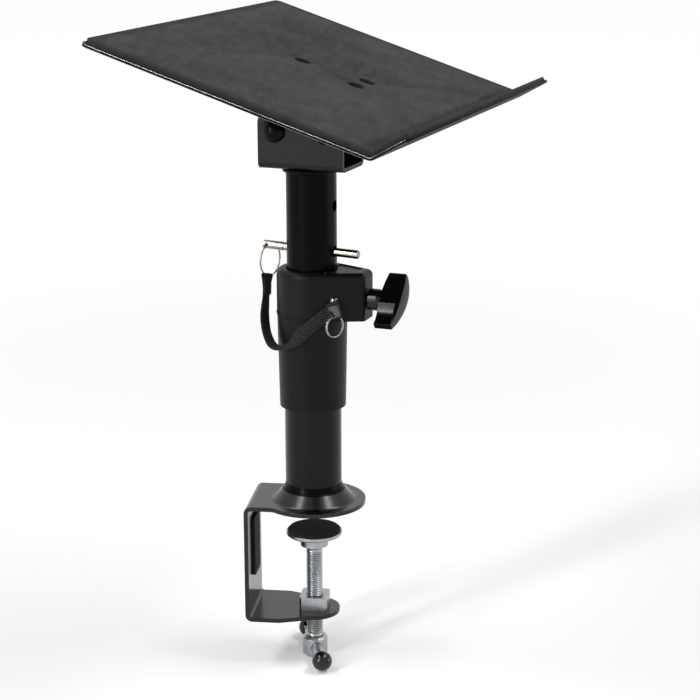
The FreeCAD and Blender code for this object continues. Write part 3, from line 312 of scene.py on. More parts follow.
# the collar block's flank, on which the tab lies, faces this way
flank_out = collar_turn @ Vector((0.3875, -0.9219, 0))
tab_reach = spare_wire + wire_seat
tab_top, tab_sewn, tab_end = (collar_turn @ (Vector(corner) * mm) for corner in (
    (21.9, -19.6, 153.0), (23.2, -20.6, 150.6), (24.0, -17.2, 151.0)))
tab_last = tab_fold + flank_out * tab_reach
sewn_steps, leg_steps = 4, 14
tab_path = [tab_top.lerp(tab_sewn, k / sewn_steps) for k in range(sewn_steps + 1)]
tab_path += [tab_sewn.lerp(tab_last, k / leg_steps) for k in range(1, leg_steps)]
tab_path += [tab_fold + (flank_out * cos(a) - upward * sin(a)) * tab_reach
             for a in [radians(200 * k / 12) for k in range(13)]]
tab_path += [tab_path[-1].lerp(tab_end, k / leg_steps) for k in range(1, leg_steps + 1)]
# its width lies along the flank where it is sewn, and has turned with the ring where it is folded
tab_from = collar_turn @ Vector((0.66, 0.27, 0.62))
tab_to = collar_turn @ Vector((0.72, 0.68, 0.12))
turned_at = sewn_steps + leg_steps
tab_sides = [tab_from.lerp(tab_to, min(k / turned_at, 1)) for k in range(len(tab_path))]
tab = ribbon("lanyard_tab", tab_path, tab_sides, width=9.5 * mm)


def geometry_tree(name, **inputs):
    """A geometry tree with named inputs, whole numbers or lengths, and the node that gives them."""
    group = bpy.data.node_groups.new(name, "GeometryNodeTree")
    for title, value in inputs.items():
        kind = "NodeSocketInt" if isinstance(value, int) else "NodeSocketFloat"
        socket = group.interface.new_socket(title, in_out="INPUT", socket_type=kind)
        socket.default_value = value
    group.interface.new_socket("Geometry", in_out="OUTPUT", socket_type="NodeSocketGeometry")
    return group, add(group, "NodeGroupInput")


# Zigzag bar tack: lays slanting stitches of thread side by side, each turned the other way.
tack, given = geometry_tree(
    "bar_tack", Stitches=12, Pitch=0.5 * mm, Reach=6.5 * mm, Thread=0.2 * mm)
step = add(tack, "ShaderNodeCombineXYZ", {"Y": given.outputs["Pitch"]})
row = add(tack, "GeometryNodeMeshLine", {"Count": given.outputs["Stitches"], "Offset": step})
slope = add(tack, "ShaderNodeMath", {
    0: given.outputs["Reach"], 1: given.outputs["Pitch"]}, operation="ARCTAN2")
number = add(tack, "GeometryNodeInputIndex")
other = add(tack, "ShaderNodeMath", {0: number, 1: 2.0}, operation="MODULO")
sign = add(tack, "ShaderNodeMath", {0: other, 1: 2.0, 2: -1.0}, operation="MULTIPLY_ADD")
angle = add(tack, "ShaderNodeMath", {0: slope, 1: sign}, operation="MULTIPLY")
spin = add(tack, "ShaderNodeCombineXYZ", {"Z": angle})
half_reach = add(tack, "ShaderNodeMath", {0: given.outputs["Reach"], 1: 0.5}, operation="MULTIPLY")
less = add(tack, "ShaderNodeMath", {0: given.outputs["Reach"], 1: -0.5}, operation="MULTIPLY")
stitch_line = add(tack, "GeometryNodeCurvePrimitiveLine", {
    "Start": add(tack, "ShaderNodeCombineXYZ", {"Y": less}),
    "End": add(tack, "ShaderNodeCombineXYZ", {"Y": half_reach})})
profile = add(tack, "GeometryNodeCurvePrimitiveCircle", {
    "Resolution": 6, "Radius": given.outputs["Thread"]})
stitch = add(tack, "GeometryNodeCurveToMesh", {
    "Curve": stitch_line, "Profile Curve": profile, "Fill Caps": True})
laid = add(tack, "GeometryNodeInstanceOnPoints", {
    "Points": row, "Instance": stitch, "Rotation": spin})
real = add(tack, "GeometryNodeRealizeInstances", {"Geometry": laid})
sewn = add(tack, "GeometryNodeSetMaterial", {"Geometry": real, "Material": thread})
add(tack, "NodeGroupOutput", {"Geometry": sewn})


def grown(name, group, **inputs):
    """A plain mesh grown by a geometry tree, with the tree's named inputs set."""
    piece = bpy.data.objects.new(name, bpy.data.meshes.new(name))
    scene.collection.objects.link(piece)
    modifier = piece.modifiers.new(name, "NODES")
    modifier.node_group = group
    for item in group.interface.items_tree:
        if item.in_out == "INPUT" and item.name in inputs:
            modifier[item.identifier] = inputs[item.name]
    finished = piece.evaluated_get(bpy.context.evaluated_depsgraph_get())
    mesh = bpy.data.meshes.new_from_object(finished)
    piece.modifiers.clear()
    piece.data = mesh
    for face in mesh.polygons:
        face.use_smooth = True
    return piece


# the tack lies across the tab's upper half, square to the line between two places on the tab
tack_down = (tab_path[14] - tab_path[2]).normalized()
tack_side = (tab_sides[8] - tack_down * tab_sides[8].dot(tack_down)).normalized()
tack_out = tack_side.cross(tack_down)
if tack_out.dot(flank_out) < 0:
    tack_side, tack_out = -tack_side, -tack_out
tab_tack = grown(
    "lanyard_tab_tack", tack, Stitches=15, Pitch=0.55 * mm, Reach=7.2 * mm, Thread=0.2 * mm)
tack_place = Matrix.Translation(tab_path[5] + tack_out * strap_thickness * 0.5) @ Matrix(
    (tack_side, tack_down, tack_out)).transposed().to_4x4()
tab_tack.data.transform(tack_place)

for piece in (strap, loop_strap, end_strap, tab):
    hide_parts("lanyard_strap")
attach(tab, "root")
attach(tab_tack, "root")
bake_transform(strap)
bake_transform(loop_strap)
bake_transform(end_strap)


# ---------------- pin, rings and anchor screw
# A turned pin, two split rings of round wire and a round-headed screw, all of nickel-plated steel:
# bright and faintly warm, with fine scuffs about 1 mm apart that dull it in places.
nickel, tree, shader, spot = new_finish("nickel_plate")
scuff = add(tree, "ShaderNodeTexNoise", {"Vector": spot, "Scale": 900.0, "Detail": 4.0})
haze = add(tree, "ShaderNodeMapRange", {"Value": scuff, "To Min": 0.12, "To Max": 0.26})
warmth = add(tree, "ShaderNodeMix", {
    "Factor": scuff, 6: linear("8a8179"), 7: linear("a59c93")}, data_type="RGBA")
wire(tree, shader, {"Base Color": warmth.outputs[2], "Metallic": 1.0, "Roughness": haze})


def cover(finish, *names):
    """Gives CAD nodes their finish."""
    for name in names:
        mesh = nodes[name].data
        if not mesh.materials:
            mesh.materials.append(finish)
        for slot in nodes[name].material_slots:
            slot.material = finish


def split_ring(name, node, body, centre, radius, wire, level):
    """Two turns of round wire, wound tight and lapped, with a step from one turn to the other."""
    normal = Vector((level.y, -level.x, 0))
    gauge = wire * 0.5
    turns, crossing, steps, sides = 1.85, 0.125, 144, 10
    coil = bmesh.new()
    rings = []
    for k in range(steps + 1):
        angle = tau * (turns * k / steps - 0.2)
        # the wire lies in one turn, crosses over in an eighth of a turn, and lies in the other
        cross = min(max((k / steps - 0.5) * turns / crossing + 0.5, 0), 1)
        offset = (cross * cross * (3 - 2 * cross) - 0.5) * 2 * (wire - gauge) * 0.98
        out = cos(angle) * level + sin(angle) * upward
        middle = centre + out * radius + normal * offset
        # the cut ends are rounded off over their last few steps
        end = min(k, steps - k)
        fine = gauge * min(1, 0.55 + end * 0.15) * 0.92
        rings.append([
            coil.verts.new(middle + out * cos(a) * fine * 1.1 + normal * sin(a) * fine)
            for a in [tau * j / sides for j in range(sides)]])
    for low, high in zip(rings, rings[1:]):
        for j in range(sides):
            nxt = (j + 1) % sides
            coil.faces.new((low[j], low[nxt], high[nxt], high[j])).smooth = True
    coil.faces.new(rings[0])
    coil.faces.new(list(reversed(rings[-1])))
    bmesh.ops.recalc_face_normals(coil, faces=coil.faces)
    ring = placed(name, coil, nickel)
    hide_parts(node)
    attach(ring, body)


split_ring("pin_split_ring", "pin_ring", "pin",
           pin_ring_centre, pin_ring_radius, pin_ring_wire, pin_ring_level)
split_ring("spare_split_ring", "anchor_ring", "root",
           spare_centre, spare_radius, spare_wire, spare_level)
cover(nickel, "safety_pin", "anchor_screw")


# ---------------- clamp frame
# A bent strip of steel plate with a drawn socket for the column, in black stove enamel. Thick
# enamel flows out glossy, rounds each corner, and shows a faint orange peel of waves about 2 mm
# apart. Handling has smeared its gloss in patches about 3 cm wide.
enamel, tree, shader, spot = new_finish("black_stove_enamel")
peel = add(tree, "ShaderNodeTexNoise", {"Vector": spot, "Scale": 500.0, "Detail": 1.0})
edge = add(tree, "ShaderNodeBevel", {"Radius": 0.0007}, samples=4)
flow = add(tree, "ShaderNodeBump", {
    "Height": peel, "Strength": 0.1, "Distance": 0.0002, "Normal": edge})
smear = add(tree, "ShaderNodeTexNoise", {"Vector": spot, "Scale": 35.0, "Detail": 3.0})
gloss = add(tree, "ShaderNodeMapRange", {"Value": smear, "To Min": 0.17, "To Max": 0.26})
wire(tree, shader, {
    "Base Color": linear("040404"), "Roughness": gloss, "Specular IOR Level": 0.38,
    "Normal": flow})
cover(enamel, "clamp_frame")

# Nitrile rubber faces that keep the clamp from marking the desk, dull, with dust in 3 mm spots.
rubber, tree, shader, spot = new_finish("nitrile_rubber")
dust = add(tree, "ShaderNodeTexNoise", {"Vector": spot, "Scale": 300.0, "Detail": 4.0})
tone = add(tree, "ShaderNodeMix", {
    "Factor": dust, 6: linear("161617"), 7: linear("29292a")}, data_type="RGBA")
wire(tree, shader, {"Base Color": tone.outputs[2], "Roughness": 0.8, "Specular IOR Level": 0.15})
cover(rubber, "leg_pad", "foot_pad")


# ---------------- clamp screw, nut, foot and cross bar
# A zinc-plated screw with a rolled thread, a foot swivelling on its button, and a sliding bar with
# phenolic balls. Clear-passivated zinc is pale and slightly blue, with soft 4 mm crystal patches.
zinc, tree, shader, spot = new_finish("zinc_plate")
spangle = add(tree, "ShaderNodeTexNoise", {"Vector": spot, "Scale": 260.0, "Detail": 4.0})
edge = add(tree, "ShaderNodeBevel", {"Radius": 0.0003}, samples=4)
haze = add(tree, "ShaderNodeMapRange", {"Value": spangle, "To Min": 0.26, "To Max": 0.42})
tint = add(tree, "ShaderNodeMix", {
    "Factor": spangle, 6: linear("8f949a"), 7: linear("b3b4b2")}, data_type="RGBA")
wire(tree, shader, {
    "Base Color": tint.outputs[2], "Metallic": 1.0, "Roughness": haze,
    "Normal": edge})
cover(zinc, "jaw_nut", "tommy_bar", "foot_plate", "housing_nut", "knob_bolt")

thread_pitch, thread_depth, shank, clearance = 1.75, 1.05, 6.0, 0.03
thread_top, thread_end, fade_length = -35.2, -102.2, 2 * thread_pitch
samples, around = 8, 36
# radius and height down the screw; a place in the thread has no radius of its own
screw_profile = [(0.05, -26.2), (4.8, -26.2), (5.8, -27.0), (5.8, -30.0), (5.0, -30.8),
                 (4.8, -31.0), (4.8, -34.0)]
height = thread_top
while height > thread_end:
    screw_profile.append((None, height))
    height -= thread_pitch / samples
screw_profile += [(5.2, -102.6), (5.2, -102.9), (7.5, -102.9), (9.0, -104.4), (9.0, -116.4),
                  (7.5, -117.9), (0.05, -117.9)]
turned = bmesh.new()
rounds = []
for radius, z in screw_profile:
    ring = []
    for k in range(around):
        angle = tau * k / around
        if radius is None:
            # a triangular thread with a flat crest, faded in and out over two turns
            phase = (z / thread_pitch + k / around) % 1
            crest = min(abs(phase - 0.5) * 2.4, 1)
            begun, left = (thread_top - z) / fade_length, (z - thread_end) / fade_length
            fade = min(begun, left, 1)
            r = shank - thread_depth * crest * fade - clearance
        else:
            r = radius
        ring.append(turned.verts.new((r * cos(angle) * mm, r * sin(angle) * mm, z * mm)))
    rounds.append(ring)
for high, low in zip(rounds, rounds[1:]):
    for k in range(around):
        nxt = (k + 1) % around
        turned.faces.new((high[k], low[k], low[nxt], high[nxt]))
turned.faces.new(rounds[0])
turned.faces.new(list(reversed(rounds[-1])))
bmesh.ops.recalc_face_normals(turned, faces=turned.faces)
screw = placed("threaded_screw", turned, zinc)

# the cross bar's hole through the screw's head, drilled along the bar
bore_radius, bore_length, bore_level, bar_bearing = 4.2 * mm, 40 * mm, -110.4 * mm, -72.8
drill = bmesh.new()
bmesh.ops.create_cone(
    drill, cap_ends=True, segments=40, radius1=bore_radius, radius2=bore_radius, depth=bore_length)
drill.transform(
    Matrix.Translation((0, 0, bore_level))
    @ Matrix.Rotation(radians(bar_bearing), 4, "Z")
    @ Matrix.Rotation(radians(90), 4, "Y"))
drill_bit = placed("cross_bore", drill, zinc)
bored = screw.modifiers.new("cross_bore", "BOOLEAN")
bored.object = drill_bit
bored.operation = "DIFFERENCE"
bored.solver = "EXACT"


def settle(piece, sharp=40):
    """Turns a piece with modifiers into a plain mesh whose curved faces are smooth."""
    finished = piece.evaluated_get(bpy.context.evaluated_depsgraph_get())
    solid = bpy.data.meshes.new_from_object(finished)
    piece.modifiers.clear()
    piece.data = solid
    for face in solid.polygons:
        face.use_smooth = True
    solid.set_sharp_from_angle(angle=radians(sharp))


settle(screw, 35)
bpy.data.objects.remove(drill_bit)
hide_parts("clamp_screw")
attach(screw, "clamp_screw")

# Balls of black phenolic resin, polished, with faint moulding swirls of 5 mm.
phenolic, tree, shader, spot = new_finish("phenolic_resin")
swirl = add(tree, "ShaderNodeTexNoise", {"Vector": spot, "Scale": 200.0, "Detail": 3.0})
polish = add(tree, "ShaderNodeMapRange", {"Value": swirl, "To Min": 0.1, "To Max": 0.2})
wire(tree, shader, {"Base Color": linear("070707"), "Roughness": polish, "Specular IOR Level": 0.4})
cover(phenolic, "bar_ball_near", "bar_ball_far")


# ---------------- column
# Two steel tubes, the inner sliding in the outer, in a thin, deep black enamel of medium gloss with
# 2 mm orange peel and rubbed streaks 3 mm wide and 26 mm long. The outer tube is dipped with the
# clamp, so its coat is thicker and takes more light.
tube_enamel, tree, shader, spot = new_finish("black_tube_enamel")
peel = add(tree, "ShaderNodeTexNoise", {"Vector": spot, "Scale": 450.0, "Detail": 1.0})
edge = add(tree, "ShaderNodeBevel", {"Radius": 0.0004}, samples=4)
flow = add(tree, "ShaderNodeBump", {
    "Height": peel, "Strength": 0.08, "Distance": 0.0002, "Normal": edge})
rubbed = add(tree, "ShaderNodeTexNoise", {
    "Vector": add(tree, "ShaderNodeMapping", {"Vector": spot, "Scale": (1.0, 1.0, 0.12)}),
    "Scale": 320.0, "Detail": 3.0})
gloss = add(tree, "ShaderNodeMapRange", {"Value": rubbed, "To Min": 0.2, "To Max": 0.32})
wire(tree, shader, {
    "Base Color": linear("030303"), "Roughness": gloss, "Specular IOR Level": 0.05,
    "Normal": flow})
cover(tube_enamel, "upper_tube")
lower_enamel = tube_enamel.copy()
lower_enamel.name = "black_post_enamel"
post_shader = lower_enamel.node_tree.nodes["Principled BSDF"]
post_shader.inputs["Specular IOR Level"].default_value = 0.18
cover(lower_enamel, "lower_tube")


def revolved(name, profile, finish, start=0.0, end=360.0, around=96):
    """A closed profile of radius and height in millimetres, turned about the column's axis."""
    full = end - start > 359.9
    spun = bmesh.new()
    rings = []
    for k in range(around + (0 if full else 1)):
        angle = radians(start + (end - start) * k / around)
        rings.append([
            spun.verts.new((r * cos(angle) * mm, r * sin(angle) * mm, z * mm))
            for r, z in profile])
    pairs = list(zip(rings, rings[1:])) + ([(rings[-1], rings[0])] if full else [])
    for here, there in pairs:
        for k in range(len(profile)):
            nxt = (k + 1) % len(profile)
            spun.faces.new((here[k], there[k], there[nxt], here[nxt])).smooth = True
    if not full:
        spun.faces.new(rings[0])
        spun.faces.new(list(reversed(rings[-1])))
    bmesh.ops.recalc_face_normals(spun, faces=spun.faces)
    piece = placed(name, spun, finish)
    piece.data.set_sharp_from_angle(angle=radians(50))
    return piece


# the enamel pools in the groove between socket and tube and leaves a smooth hollow
pool_low, pool_bend, pool_high = Vector((22.5, 10.8)), Vector((20.5, 12.6)), Vector((20.02, 16.0))
pool_line = [(1 - t) ** 2 * pool_low + 2 * t * (1 - t) * pool_bend + t * t * pool_high
             for t in [k / 10 for k in range(11)]]
pool_back = [(19.9, 16.0), (19.9, 10.8)]
pool = revolved("socket_enamel_fillet", [tuple(p) for p in pool_line] + pool_back, tube_enamel)
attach(pool, "root")


# ---------------- collar and knob
# Injection-moulded ABS: a collar that fits over the lower tube, and a knob moulded on its bolt. The
# collar's grain is spark-eroded and cloudy. The knob is polished, but its crowned face is textured.
# Both grains are finer in the real plastic than the 0.5 mm and 0.7 mm drawn so that they show.
moulded, tree, shader, spot = new_finish("moulded_abs")
grain = add(tree, "ShaderNodeTexNoise", {"Vector": spot, "Scale": 2200.0, "Detail": 2.0})
edge = add(tree, "ShaderNodeBevel", {"Radius": 0.001}, samples=6)
texture = add(tree, "ShaderNodeBump", {
    "Height": grain, "Strength": 0.2, "Distance": 0.0002, "Normal": edge})
cloud = add(tree, "ShaderNodeTexNoise", {"Vector": spot, "Scale": 60.0, "Detail": 3.0})
tone = add(tree, "ShaderNodeMix", {
    "Factor": cloud, 6: linear("070708"), 7: linear("121213")}, data_type="RGBA")
wire(tree, shader, {
    "Base Color": tone.outputs[2], "Roughness": 0.4, "Specular IOR Level": 0.12,
    "Normal": texture})
cover(moulded, "collar_housing", "mast_bush")

# the mould's two halves meet round the foot of the housing and leave a fine raised line on the
# barrel, which stops at either side of the block
line_radius, line_height = 24.7, 140.6
line_profile = [(line_radius + 0.45 * cos(a), line_height + 0.5 * sin(a))
                for a in [tau * k / 10 for k in range(10)]]
parting_line = revolved("collar_parting_line", line_profile, moulded, start=54.5, end=279.5)
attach(parting_line, "root")

# the knob's crowned face is the part that looks away from the column along the knob's axis
knob_plastic, tree, shader, spot = new_finish("polished_abs")
knob_axis = collar_turn @ Vector((1, 0, 0))
facing = add(tree, "ShaderNodeVectorMath", {
    0: add(tree, "ShaderNodeTexCoord").outputs["Normal"], 1: knob_axis}, operation="DOT_PRODUCT")
face = add(tree, "ShaderNodeMapRange", {
    "Value": facing.outputs["Value"], "From Min": 0.72, "From Max": 0.80})
grain = add(tree, "ShaderNodeTexNoise", {"Vector": spot, "Scale": 1400.0, "Detail": 2.0})
edge = add(tree, "ShaderNodeBevel", {"Radius": 0.0006}, samples=4)
tooth = add(tree, "ShaderNodeMath", {0: face, 1: grain}, operation="MULTIPLY")
texture = add(tree, "ShaderNodeBump", {
    "Height": tooth, "Strength": 0.4, "Distance": 0.0003, "Normal": edge})
tone = add(tree, "ShaderNodeMix", {
    "Factor": face, 6: linear("050505"), 7: linear("353536")}, data_type="RGBA")
gloss = add(tree, "ShaderNodeMapRange", {"Value": face, "To Min": 0.2, "To Max": 0.55})
wire(tree, shader, {
    "Base Color": tone.outputs[2], "Roughness": gloss, "Specular IOR Level": 0.3,
    "Normal": texture})
cover(knob_plastic, "wing_knob")

# The shoe that grips the mast is turned from brass. Its fine tool marks are drawn at 0.7 mm.
brass, tree, shader, spot = new_finish("turned_brass")
lines = add(tree, "ShaderNodeTexNoise", {"Vector": spot, "Scale": 1500.0, "Detail": 2.0})
haze = add(tree, "ShaderNodeMapRange", {"Value": lines, "To Min": 0.25, "To Max": 0.4})
wire(tree, shader, {"Base Color": linear("c9a45c"), "Metallic": 1.0, "Roughness": haze})
cover(brass, "brake_shoe")


# ---------------- bracket, its weld and the hanger
# Folded sheet steel with a satin powder coat, whose grit is drawn at 0.7 mm so that it shows. The
# bracket is welded to the mast by a hand-laid bead of overlapping ripples under the mast's enamel.
coat, tree, shader, spot = new_finish("satin_powder_coat")
grit = add(tree, "ShaderNodeTexNoise", {"Vector": spot, "Scale": 1500.0, "Detail": 2.0})
edge = add(tree, "ShaderNodeBevel", {"Radius": 0.0006}, samples=4)
tooth = add(tree, "ShaderNodeBump", {
    "Height": grit, "Strength": 0.15, "Distance": 0.0002, "Normal": edge})
patch = add(tree, "ShaderNodeTexNoise", {"Vector": spot, "Scale": 45.0, "Detail": 4.0})
tone = add(tree, "ShaderNodeMix", {
    "Factor": patch, 6: linear("111112"), 7: linear("1c1c1d")}, data_type="RGBA")
wire(tree, shader, {
    "Base Color": tone.outputs[2], "Roughness": 0.38, "Specular IOR Level": 0.15,
    "Normal": tooth})
cover(coat, "mast_bracket", "tray_hanger")

# Weld bead: lays flattened balls in a circle, each a ripple of slightly different size.
bead, given = geometry_tree(
    "weld_bead", Ripples=54, Radius=18.0 * mm, Size=1.9 * mm, Height=241.2 * mm)
path = add(bead, "GeometryNodeMeshCircle", {
    "Vertices": given.outputs["Ripples"], "Radius": given.outputs["Radius"]})
ball = add(bead, "GeometryNodeMeshUVSphere", {
    "Segments": 14, "Rings": 8, "Radius": given.outputs["Size"]})
jitter = add(bead, "FunctionNodeRandomValue", {2: 0.86, 3: 1.12, "Seed": 7}, data_type="FLOAT")
flatten = add(bead, "ShaderNodeCombineXYZ", {
    "X": 1.0, "Y": jitter.outputs[1], "Z": jitter.outputs[1]})
index = add(bead, "GeometryNodeInputIndex")
share = add(bead, "ShaderNodeMath", {0: index, 1: given.outputs["Ripples"]}, operation="DIVIDE")
angle = add(bead, "ShaderNodeMath", {0: share, 1: tau}, operation="MULTIPLY")
spin = add(bead, "ShaderNodeCombineXYZ", {"Z": angle})
laid = add(bead, "GeometryNodeInstanceOnPoints", {
    "Points": path, "Instance": ball, "Rotation": spin,
    "Scale": flatten})
real = add(bead, "GeometryNodeRealizeInstances", {"Geometry": laid})
lift = add(bead, "ShaderNodeCombineXYZ", {"Z": given.outputs["Height"]})
raised = add(bead, "GeometryNodeTransform", {"Geometry": real, "Translation": lift})
coated = add(bead, "GeometryNodeSetMaterial", {"Geometry": raised, "Material": tube_enamel})
add(bead, "NodeGroupOutput", {"Geometry": coated})
weld = grown("weld_bead", bead, Ripples=54, Radius=18.0 * mm, Size=1.9 * mm, Height=240.9 * mm)
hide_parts("bracket_weld")
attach(weld, "mast")


# ---------------- pivot set and tray screws
# A round-headed bolt, its nut and plain washers in smooth black oxide, three black tray screws, and
# slip discs that let the tray tilt without scraping the bracket.
oxide, tree, shader, spot = new_finish("black_oxide")
bloom = add(tree, "ShaderNodeTexNoise", {"Vector": spot, "Scale": 700.0, "Detail": 3.0})
edge = add(tree, "ShaderNodeBevel", {"Radius": 0.0003}, samples=4)
haze = add(tree, "ShaderNodeMapRange", {"Value": bloom, "To Min": 0.22, "To Max": 0.34})
wire(tree, shader, {
    "Base Color": linear("020202"), "Roughness": haze, "Specular IOR Level": 0.08,
    "Normal": edge})
cover(oxide, "pivot_bolt", "pivot_nut", "pivot_washers")

# The tray's screws are phosphated instead: a dull, dry black with no shine and 1 mm dust specks.
phosphate, tree, shader, spot = new_finish("black_phosphate")
bloom = add(tree, "ShaderNodeTexNoise", {"Vector": spot, "Scale": 900.0, "Detail": 3.0})
tone = add(tree, "ShaderNodeMix", {
    "Factor": bloom, 6: linear("060606"), 7: linear("161616")}, data_type="RGBA")
wire(tree, shader, {"Base Color": tone.outputs[2], "Roughness": 0.8, "Specular IOR Level": 0.02})
cover(phosphate, "tray_screws")

# Undyed nylon, milky and faintly yellow.
slippery, tree, shader, spot = new_finish("natural_nylon")
milk = add(tree, "ShaderNodeTexNoise", {"Vector": spot, "Scale": 300.0, "Detail": 2.0})
tone = add(tree, "ShaderNodeMix", {
    "Factor": milk, 6: linear("cbc6b8"), 7: linear("dedacd")}, data_type="RGBA")
wire(tree, shader, {"Base Color": tone.outputs[2], "Roughness": 0.45, "Specular IOR Level": 0.4})
cover(slippery, "slip_discs")


# ---------------- tray
# Sheet steel laser-cut with round corners and folded up along its low side. Its powder coat has
# worn through to bright steel along the short sides, and in 8 mm flecks along the long ones, but
# is whole round the screws, where only its dull black shows through the pad's holes.
side_start, screws_middle, screws_reach = 147.5, (25.0, 0.0, 0.0), 60.0
tray_coat, tree, shader, spot = new_finish("worn_powder_coat")
grit = add(tree, "ShaderNodeTexNoise", {"Vector": spot, "Scale": 1500.0, "Detail": 2.0})
edge = add(tree, "ShaderNodeBevel", {"Radius": 0.0006}, samples=6)
tooth = add(tree, "ShaderNodeBump", {
    "Height": grit, "Strength": 0.15, "Distance": 0.0002, "Normal": edge})
true_face = add(tree, "ShaderNodeNewGeometry")
rounding = add(tree, "ShaderNodeVectorMath", {
    0: edge, 1: true_face.outputs["True Normal"]}, operation="DOT_PRODUCT")
rub = add(tree, "ShaderNodeTexNoise", {"Vector": spot, "Scale": 120.0, "Detail": 4.0})
worn = add(tree, "ShaderNodeMapRange", {
    "Value": rounding.outputs["Value"], "From Min": 0.97, "From Max": 0.90})
flecks = add(tree, "ShaderNodeMapRange", {"Value": rub, "From Min": 0.6, "From Max": 0.66})
rubbed = add(tree, "ShaderNodeMapRange", {
    "Value": rub, "From Min": 0.3, "From Max": 0.42, "To Min": 0.3})
flat_place = add(tree, "ShaderNodeSeparateXYZ", {
    "Vector": add(tree, "ShaderNodeUVMap", uv_map="cloth")})
sideways = add(tree, "ShaderNodeMath", {0: flat_place.outputs["Y"]}, operation="ABSOLUTE")
short_side = add(tree, "ShaderNodeMath", {0: sideways, 1: side_start}, operation="GREATER_THAN")
kept = add(tree, "ShaderNodeMix", {"Factor": short_side, "A": flecks, "B": rubbed})
on_flat = add(tree, "ShaderNodeCombineXYZ", {
    "X": flat_place.outputs["X"], "Y": flat_place.outputs["Y"]})
off_centre = add(tree, "ShaderNodeVectorMath", {0: on_flat, 1: screws_middle}, operation="DISTANCE")
outer = add(tree, "ShaderNodeMath", {
    0: off_centre.outputs["Value"], 1: screws_reach}, operation="GREATER_THAN")
bare = add(tree, "ShaderNodeMath", {0: worn, 1: kept}, operation="MULTIPLY")
bare = add(tree, "ShaderNodeMath", {0: bare, 1: outer}, operation="MULTIPLY")
tone = add(tree, "ShaderNodeMix", {
    "Factor": bare, 6: linear("121213"), 7: linear("b4b4b4")}, data_type="RGBA")
gloss = add(tree, "ShaderNodeMapRange", {"Value": bare, "To Min": 0.5, "To Max": 0.28})
wire(tree, shader, {
    "Base Color": tone.outputs[2], "Metallic": bare, "Roughness": gloss,
    "Specular IOR Level": 0.03, "Normal": tooth})

# the tray's own frame: turned with the mast, carried to the pivot and tilted about it
head_bearing, pivot_place, tray_tilt = -14.5, (-18.8, 0, 268.8), 17.6
tray_frame = (
    Matrix.Rotation(radians(head_bearing), 4, "Z")
    @ Matrix.Translation(Vector(pivot_place) * mm)
    @ Matrix.Rotation(radians(tray_tilt), 4, "Y")
)
# in millimetres from the pivot: the sheet's upper face, its high edge and its fold, then the lip
tray_rise, tray_start, tray_fold = 44.25, -90.7, 111.8
tray_half, tray_lip, tray_sheet = 150.0, 27.5, 2.0
lip_angle = radians(47.0)
screw_places = ((-0.9, 0.0), (43.6, 10.5), (43.6, -10.5))


def flat_lengths(bend, lip, lower):
    """Before folding, from the pivot: the flat's end, the bend's length and the sheet's end."""
    setback = bend * tan(lip_angle / 2)
    flat_end = tray_fold - (lower - tray_rise) * tan(lip_angle / 2) - setback
    return flat_end, bend * lip_angle, flat_end + bend * lip_angle + lip - setback


def folded(
        name, finish, start, half_width, lip, corner, lip_corner, bend, hole, thickness,
        lower, rim):
    """A flat sheet cut with round corners and screw holes, then folded up along its low side.
    bend is the lower face's radius at the fold, and lower is its height above the tray's pivot."""
    flat_end, arc, end = flat_lengths(bend, lip, lower)
    outline = []
    for cx, cy, radius, turn in (
        (end, half_width, lip_corner, 0), (start, half_width, corner, 90),
        (start, -half_width, corner, 180), (end, -half_width, lip_corner, 270),
    ):
        inset = Vector((copysign(radius, cx), copysign(radius, cy)))
        for k in range(9):
            angle = radians(turn + k * 90 / 8)
            out = Vector((cos(angle), sin(angle)))
            outline.append(Vector((cx, cy)) - inset + radius * out)
    sheet = bmesh.new()
    loops = [outline]
    for x, y in screw_places:
        loops.append([Vector((x, y)) + hole * Vector((cos(a), sin(a)))
                      for a in [tau * k / 40 for k in range(40)]])
    edges = []
    for loop in loops:
        verts = [sheet.verts.new((p.x, p.y, 0)) for p in loop]
        edges += [sheet.edges.new((a, b)) for a, b in zip(verts, verts[1:] + verts[:1])]
    bmesh.ops.triangle_fill(sheet, edges=edges, use_beauty=True)
    # cut across where it will bend, lay the flat's own coordinates on it, then fold it
    for cut in [flat_end + arc * k / 8 for k in range(9)]:
        parts = sheet.verts[:] + sheet.edges[:] + sheet.faces[:]
        bmesh.ops.bisect_plane(
            sheet, geom=parts, plane_co=(cut, 0, 0), plane_no=(1, 0, 0), dist=1e-4)
    for face in sheet.faces:
        if face.normal.z < 0:
            face.normal_flip()
    flat = sheet.loops.layers.uv.new("cloth")
    for face in sheet.faces:
        for loop in face.loops:
            loop[flat].uv = loop.vert.co.xy
    for vert in sheet.verts:
        past = min(max(vert.co.x - flat_end, 0), arc)
        straight = max(vert.co.x - flat_end - arc, 0)
        turned = past / bend
        x = min(vert.co.x, flat_end) + bend * sin(turned) + straight * cos(lip_angle)
        z = lower + bend * (1 - cos(turned)) + straight * sin(lip_angle)
        vert.co = tray_frame @ (Vector((x, vert.co.y, z)) * mm)
    piece = placed(name, sheet, finish)
    wall = piece.modifiers.new("wall", "SOLIDIFY")
    wall.thickness = thickness * mm
    wall.offset = 1
    arris = piece.modifiers.new("arris", "BEVEL")
    arris.width = rim * mm
    arris.segments = 3
    arris.angle_limit = radians(60)
    arris.harden_normals = True
    settle(piece)
    return piece


tray = folded(
    "tray", tray_coat, start=tray_start, half_width=tray_half, lip=tray_lip,
    corner=6.0, lip_corner=8.0, bend=6.0, hole=2.75,
    thickness=tray_sheet, lower=tray_rise - tray_sheet, rim=0.2)
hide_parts("tray_sheet")
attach(tray, "tray")
